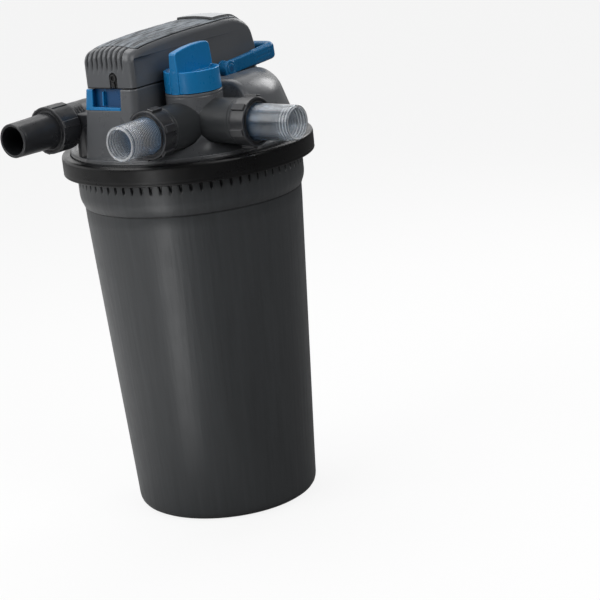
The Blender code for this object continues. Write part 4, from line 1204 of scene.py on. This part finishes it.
# ------------------------------------------------------------------ materials
def plastic(name, rgb, rough=0.45, grain=0.00006, mottle=0.10, edge=0.25, specular=0.5,
            streak=0.0, spread=0.08, marks=()):
    """Moulded plastic. grain: bump in metres; mottle, streak: colour variation; edge: paler
    edges, as wear and as painted highlight; spread: variation of the roughness; marks:
    painted shade, see Tree.darken."""
    tree = new_material(name)
    base = linear(*rgb)
    big = tree.noise(scale=9.0, detail=4.0, rough=0.55)
    fine = tree.noise(scale=420.0, detail=2.0, rough=0.6)
    colour = tree.mix(tree.ramp(big, 0, 1, start=0.32, end=0.68),
                      tuple(base * (1 - mottle)), tuple(base * (1 + mottle)))
    colour = tree.mix(tree.ramp(fine, 0, 0.35, start=0.35, end=0.7), colour,
                      tuple(base * (1 + 1.6 * mottle)))
    if streak:
        upright = tree.noise(scale=1.0, detail=4.0, rough=0.6, stretch=(95.0, 95.0, 2.2))
        amount = tree.math("MULTIPLY", tree.ramp(upright, 0, 1, start=0.35, end=0.68), 0.5)
        colour = tree.mix(amount, colour, tuple(base * (1 + streak)))
    # paler convex edges: partly wear, partly painted highlight
    if edge:
        colour = tree.mix(tree.edge_wear_and_highlight(edge), colour,
                          tuple(np.minimum(base * 2.2 + 0.035, 1)))
    tree.surface("Base Color", tree.darken(colour, marks))
    patches = tree.noise(scale=38.0, detail=4.0, rough=0.6)
    tree.surface("Roughness", tree.ramp(patches, rough - spread, rough + spread))
    tree.surface("Specular IOR Level", specular)
    heights = [(tree.noise(scale=1100.0, detail=2.0, rough=0.55), grain * 0.35),
               (tree.noise(scale=150.0, detail=2.0, rough=0.5), grain)]
    if streak:
        lines = tree.noise(scale=1.0, detail=3.0, rough=0.5, stretch=(150.0, 150.0, 1.6))
        heights.append((lines, 0.00035))
    tree.bump(*heights)
    return tree.owner


def hood_finish():
    """The hood: moulded sides, a streaked and textured cap with painted light and shade on its
    ripples, a smooth plate, painted shade in the grooves and side scoops.
    """
    tree = new_material("hood_moulded_and_cap")
    side = linear(92, 94, 97)
    cap = linear(97, 103, 109)
    plate = linear(185, 188, 191)
    big = tree.noise(scale=9.0, detail=4.0, rough=0.55)
    side_colour = tree.mix(tree.ramp(big, 0, 1, start=0.32, end=0.68),
                           tuple(side * 0.92), tuple(side * 1.08))
    # paler edges: partly wear, partly painted highlight
    side_colour = tree.mix(tree.edge_wear_and_highlight(0.2), side_colour, tuple(side * 2.2 + 0.035))
    streaks = tree.noise(scale=1.0, detail=4.0, rough=0.62, stretch=(150.0, 15.0, 150.0),
                         distortion=0.5)
    fine = tree.noise(scale=300.0, detail=3.0, rough=0.6)
    # the cap's streaked tone follows its bump: lighter ridges and flecks and darker valleys are
    # painted light and shade
    cap_colour = tree.mix(tree.ramp(streaks, 0, 1, start=0.38, end=0.62),
                          tuple(cap * 0.22), tuple(cap * 1.75))
    cap_colour = tree.mix(tree.ramp(fine, 0, 0.5, start=0.45, end=0.75), cap_colour,
                          tuple(cap * 1.9))
    plate_colour = tree.mix(tree.ramp(big, 0, 1), tuple(plate * 0.95), tuple(plate * 1.05))
    colour = tree.mix(tree.mask("cap"), side_colour, cap_colour)
    colour = tree.mix(tree.mask("plate"), colour, plate_colour)
    # painted shade in the side scoops and in the grooves
    colour = tree.darken(colour, (("scoop", (0.45,) * 3), ("groove", (0.10,) * 3)))
    tree.surface("Base Color", colour)
    patches = tree.ramp(tree.noise(scale=38.0, detail=4.0, rough=0.6), 0.28, 0.37)
    rougher = tree.math("ADD", patches, tree.math("MULTIPLY", tree.mask("cap"), 0.15))
    smoother = tree.math("MULTIPLY", tree.mask("plate"), 0.03)
    tree.surface("Roughness", tree.math("SUBTRACT", rougher, smoother))
    tree.bump((tree.math("MULTIPLY", streaks, tree.mask("cap")), 0.0024),
              (tree.math("MULTIPLY", fine, tree.mask("cap")), 0.0003),
              (tree.noise(scale=1100.0, detail=2.0, rough=0.55), 0.000012),
              (tree.noise(scale=150.0, detail=2.0, rough=0.5), 0.00004))
    return tree.owner


def clear_plastic():
    """Hazy hose plastic with a painted highlight, whiter and less clear, on the ribs, and a
    painted blue reflection near the nut.
    """
    tree = new_material("clear_hose_plastic")
    fine = tree.noise(scale=300.0, detail=3.0, rough=0.6)
    haze = tree.noise(scale=40.0, detail=3.0, rough=0.6)
    body = tree.mix(tree.ramp(haze, 0, 1), (0.60, 0.65, 0.70), (0.50, 0.55, 0.60))
    # painted highlight on the rib crests
    colour = tree.mix(tree.mask("ring"), body, (0.97, 0.98, 1.0))
    # painted blue reflection near the nut
    painted_blue_reflection = tree.math("MULTIPLY", tree.mask("painted_blue_reflection"), 0.66)
    tree.surface("Base Color", tree.mix(painted_blue_reflection, colour, (0.28, 0.56, 0.92)))
    # less clear on the rib crests, part of the painted highlight
    tree.surface("Transmission Weight",
                 tree.ramp(tree.mask("ring"), 0.93, 0.62, start=0.25, end=1.0))
    tree.surface("IOR", 1.14)
    tree.surface("Coat Weight", 1.0)
    tree.surface("Coat Roughness", 0.15)
    tree.surface("Roughness", tree.ramp(haze, 0.03, 0.10))
    tree.bump((fine, 0.00004))
    return tree.owner


def glass(name, rgb, rough):
    tree = new_material(name)
    patches = tree.noise(scale=60.0, detail=3.0, rough=0.5)
    base = linear(*rgb)
    tree.surface("Base Color", tree.mix(patches, tuple(base * 0.96), tuple(base)))
    tree.surface("Transmission Weight", 1.0)
    tree.surface("IOR", 1.45)
    tree.surface("Roughness", tree.ramp(patches, rough * 0.6, rough * 1.8))
    tree.bump((tree.noise(scale=90.0, detail=2.0, rough=0.5), 0.00002))
    return tree.owner


def metal(name, rgb, rough):
    tree = new_material(name)
    base = linear(*rgb)
    brushed = tree.noise(scale=1.0, detail=4.0, rough=0.6, stretch=(900.0, 900.0, 60.0))
    patches = tree.noise(scale=55.0, detail=4.0, rough=0.6)
    tree.surface("Base Color", tree.mix(tree.ramp(patches, 0, 1), tuple(base * 0.82),
                                        tuple(base)))
    tree.surface("Metallic", 1.0)
    tree.surface("Roughness", tree.ramp(brushed, rough - 0.08, rough + 0.12))
    tree.bump((brushed, 0.00004))
    return tree.owner


def foam(name, rgb):
    tree = new_material(name)
    base = linear(*rgb)
    voronoi = tree.node("ShaderNodeTexVoronoi")
    voronoi.inputs["Scale"].default_value = 420.0
    tree.plug(voronoi.inputs["Vector"], tree.coords.outputs["Object"])
    pores = voronoi.outputs["Distance"]
    patches = tree.noise(scale=30.0, detail=4.0, rough=0.6)
    # darker pore pits: painted shade in the pores
    colour = tree.mix(tree.ramp(pores, 0, 1, start=0.1, end=0.6),
                      tuple(base * 0.25), tuple(base * 1.1))
    colour = tree.mix(tree.math("MULTIPLY", patches, 0.4), colour, tuple(base * 0.7))
    tree.surface("Base Color", colour)
    tree.surface("Roughness", 0.95)
    tree.bump((pores, 0.0012), (patches, 0.0008))
    return tree.owner


# by slot name; colours are sRGB 0-255; marks darken painted shade, edge pales edges as wear and
# painted highlight
MATERIALS = {
    "bucket_plastic": plastic("bucket_moulded", (59, 61, 63), rough=0.34, mottle=0.05,
                              edge=0.10, streak=0.42, spread=0.04, grain=0.00003,
                              marks=(("groove", (0.16,) * 3),)),
    "ring_plastic": plastic("tension_ring_satin", (16, 16, 17), rough=0.31, mottle=0.08,
                            edge=0.10, specular=0.34),
    "lid_plastic": plastic("lid_moulded", (87, 89, 92), rough=0.31, mottle=0.07, edge=0.22,
                           grain=0.00003, marks=(("groove", (0.15,) * 3),)),
    "hood_plastic": plastic("hood_moulded", (96, 99, 103), rough=0.40, mottle=0.06, edge=0.2),
    "fitting_plastic": plastic("fitting_black", (37, 38, 41), rough=0.32, edge=0.35,
                               specular=0.55, grain=0.00005),
    "barrel": plastic("barrel_dark", (50, 52, 54), rough=0.40, mottle=0.08, edge=0.22,
                      specular=0.22, grain=0.00005),
    "blue_plastic": plastic("blue_moulded", (14, 115, 172), rough=0.30, mottle=0.05,
                            edge=0.35, specular=0.45, grain=0.00004,
                            marks=(("groove", (0.1, 0.34, 0.42)),)),
    "blue_handle": plastic("blue_handle_moulded", (11, 97, 146), rough=0.32, mottle=0.05,
                           specular=0.4, grain=0.00004),
    "rubber": plastic("black_rubber", (22, 22, 23), rough=0.62, mottle=0.12, edge=0.15,
                      grain=0.00010),
    "clear_plastic": clear_plastic(),
    "steel": metal("stainless_pins", (196, 198, 200), rough=0.28),
    "pin_cap": plastic("pin_cap_blue", (10, 70, 112), rough=0.35, mottle=0.05, edge=0.2,
                       specular=0.4),
    "ballast_case": plastic("ballast_case", (150, 152, 150), rough=0.5, edge=0.1),
    "ceramic": plastic("lamp_ceramic", (226, 224, 216), rough=0.35, mottle=0.03, edge=0.0),
    "lamp_glass": glass("lamp_tube_glass", (236, 240, 246), rough=0.05),
    "quartz_glass": glass("quartz_tube_glass", (244, 247, 250), rough=0.02),
    "foam_blue": foam("foam_coarse_blue", (40, 92, 150)),
    "foam_green": foam("foam_fine_green", (70, 120, 70)),
}
HOOD_MATERIAL = hood_finish()


def piece_material(obj):
    if obj.name == "hood_shell":
        return HOOD_MATERIAL
    if obj.name.endswith("outlet_barrel"):
        return MATERIALS["barrel"]
    if obj.name == "lift_handle" or obj.name.startswith("rod_clevis"):
        return MATERIALS["blue_handle"]
    return MATERIALS[obj["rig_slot"]]


for obj in piece.values():
    obj.data.materials.clear()
    obj.data.materials.append(piece_material(obj))

# the frame's own nodes: the record's slot if there is a material for it, else this table
NODE_SLOTS = {node: slot.get("name") for slot in record.get("material_slots", []) or []
              for node in slot.get("nodes", []) or []}
FALLBACK = {"press_plate": "blue_plastic", "strainer_tube": "fitting_plastic",
            "top_plate": "fitting_plastic", "head_base_plate": "fitting_plastic",
            "valve_rotor": "fitting_plastic", "sleeve_nut": "fitting_plastic",
            "ballast": "ballast_case", "lamp_socket": "ceramic", "uvc_lamp": "lamp_glass",
            "quartz_sleeve": "quartz_glass", "clamp_bolt": "steel",
            "pivot_pin_left": "pin_cap", "pivot_pin_right": "pin_cap"}
for node, obj in frame["nodes"].items():
    choices = (NODE_SLOTS.get(node), FALLBACK.get(node), "rubber")
    material = MATERIALS[next(key for key in choices if key in MATERIALS)]
    if not obj.data.materials:
        obj.data.materials.append(material)
    for k in range(len(obj.data.materials)):
        obj.data.materials[k] = material

# ------------------------------------------------------------------ stage (metres from here)
scene = bpy.context.scene
scene.view_settings.view_transform = "Standard"
scene.view_settings.look = "None"

# the view's axes: x to the right of the picture, y away from the camera, z up
VIEW_ANGLE = radians(49)
VIEW_Y = Vector((cos(VIEW_ANGLE), sin(VIEW_ANGLE), 0))
VIEW_X = Vector((VIEW_Y.y, -VIEW_Y.x, 0))


def from_view(vector):
    """The object's vector in the view's axes, to aim lights and the camera.

    Each part is a dot product with one of the view's axes."""
    vector = Vector(vector)
    return Vector((vector.dot(VIEW_X), vector.dot(VIEW_Y), vector.dot(Vector((0, 0, 1)))))


def floor_material():
    tree = new_material("studio_floor_paper")
    tree.surface("Base Color", tree.mix(tree.noise(scale=3.0, detail=2.0),
                                        (0.90, 0.90, 0.90), (0.93, 0.93, 0.93)))
    tree.surface("Roughness", 0.9)
    tree.surface("Specular IOR Level", 0.1)
    seen = tree.node("ShaderNodeLightPath")
    position = tree.coords.outputs["Object"]
    # a paper sweep burnt out to white: the camera sees it mostly by its own glow
    glow = tree.node("ShaderNodeEmission")
    tree.plug(glow.inputs["Color"], (1.0, 1.0, 1.0))
    pale = tree.mix_shader(0.86, tree.principled.outputs[0], glow.outputs[0])
    # painted fall-off of light: what other rays see grows darker along one direction of the
    # floor
    side = tree.vector("DOT_PRODUCT", position, from_view((1.0, 0.0, 0.0)))
    dim = tree.node("ShaderNodeBsdfDiffuse")
    fall = tree.ramp(side, 0, 1, start=-0.75, end=0.25)
    tree.plug(dim.inputs["Color"], tree.mix(fall, (0.76, 0.76, 0.76), (0.20, 0.20, 0.20)))
    # a reflector card lying on the floor, seen only in glossy reflections
    card_angle = radians(35)
    card = tree.vector("DOT_PRODUCT", tree.vector("NORMALIZE", position),
                       from_view((-sin(card_angle), -cos(card_angle), 0.0)))
    distance = tree.vector("LENGTH", position)
    strength = tree.math("MULTIPLY", tree.ramp(card, 0, 2.1, start=0.980, end=0.996),
                         tree.ramp(distance, 0, 1, start=0.30, end=0.70))
    shine = tree.node("ShaderNodeEmission")
    tree.plug(shine.inputs["Strength"],
              tree.math("MULTIPLY", strength, seen.outputs["Is Glossy Ray"]))
    both = tree.node("ShaderNodeAddShader")
    tree.plug(both.inputs[0], dim.outputs[0])
    tree.plug(both.inputs[1], shine.outputs[0])
    result = tree.mix_shader(seen.outputs["Is Camera Ray"], both.outputs[0], pale)
    tree.plug(tree.tree.nodes["Material Output"].inputs["Surface"], result)
    return tree.owner


def build_floor():
    half, z = 9, -0.0003
    mesh = bpy.data.meshes.new("studio_floor")
    mesh.from_pydata([(-half, -half, z), (half, -half, z), (half, half, z), (-half, half, z)],
                     [], [(0, 1, 2, 3)])
    obj = bpy.data.objects.new("studio_floor", mesh)
    scene.collection.objects.link(obj)
    mesh.materials.append(floor_material())


def softbox(name, at, aim_z, size, power):
    """Area light aimed at a height on the z axis; sizes in metres, power in watts."""
    light = bpy.data.lights.new(name, "AREA")
    light.shape = "RECTANGLE"
    light.size, light.size_y = size
    light.energy = power
    obj = bpy.data.objects.new(name, light)
    scene.collection.objects.link(obj)
    obj.visible_camera = False
    place = from_view(at)
    aim = from_view((0, 0, aim_z)) - place
    turn = aim.to_track_quat("-Z", "Y").to_matrix().to_4x4()
    obj.matrix_world = Matrix.Translation(place) @ turn


def build_world():
    """White to the camera; for other rays a soft glow from one side."""
    world = bpy.data.worlds.new("studio")
    scene.world = world
    tree = Tree(world)
    background = tree.tree.nodes["Background"]
    facing = tree.vector("DOT_PRODUCT", tree.coords.outputs["Generated"],
                         from_view((-0.60, 0.75, 0.25)).normalized())
    tree.plug(background.inputs["Strength"],
              tree.ramp(facing, 0.07, 0.95, start=0.15, end=0.80,
                        interpolation_type="SMOOTHSTEP"))
    tree.plug(background.inputs["Color"], (1.0, 1.0, 1.0))
    backdrop = tree.node("ShaderNodeBackground")
    tree.plug(backdrop.inputs["Color"], (1.0, 1.0, 1.0))
    seen = tree.node("ShaderNodeLightPath")
    result = tree.mix_shader(seen.outputs["Is Camera Ray"], background.outputs[0],
                             backdrop.outputs[0])
    tree.plug(tree.tree.nodes["World Output"].inputs["Surface"], result)


def build_camera():
    camera = bpy.data.cameras.new("photo_view")
    camera.sensor_width = 36
    camera.lens = 117.6624
    camera.clip_start = 0.05
    yaw, pitch, roll = 0.049, 0.267, -0.107          # radians
    forward = Vector((sin(yaw) * cos(pitch), cos(yaw) * cos(pitch), -sin(pitch)))
    level = Vector((cos(yaw), -sin(yaw), 0))
    upright = level.cross(forward)
    place = from_view(Vector((0, -2.92152, 1.09135)))
    right = from_view(level * cos(roll) + upright * sin(roll))
    up = from_view(-level * sin(roll) + upright * cos(roll))
    forward = from_view(forward)
    obj = bpy.data.objects.new("photo_view", camera)
    scene.collection.objects.link(obj)
    obj.matrix_world = Matrix(((right.x, up.x, -forward.x, place.x),
                               (right.y, up.y, -forward.y, place.y),
                               (right.z, up.z, -forward.z, place.z), (0, 0, 0, 1)))
    scene.camera = obj


build_floor()
softbox("panel_left", at=(-1.7, -1.0, 1.9), aim_z=0.40, size=(1.7, 1.7), power=28)
softbox("fill_right", at=(1.2, -1.3, 1.75), aim_z=0.50, size=(1.4, 1.4), power=18)
softbox("rim_right", at=(1.25, 1.3, 1.42), aim_z=0.60, size=(0.8, 0.9), power=10)
softbox("top", at=(-0.15, 0.55, 2.2), aim_z=0.60, size=(1.3, 1.3), power=12)
build_world()
build_camera()
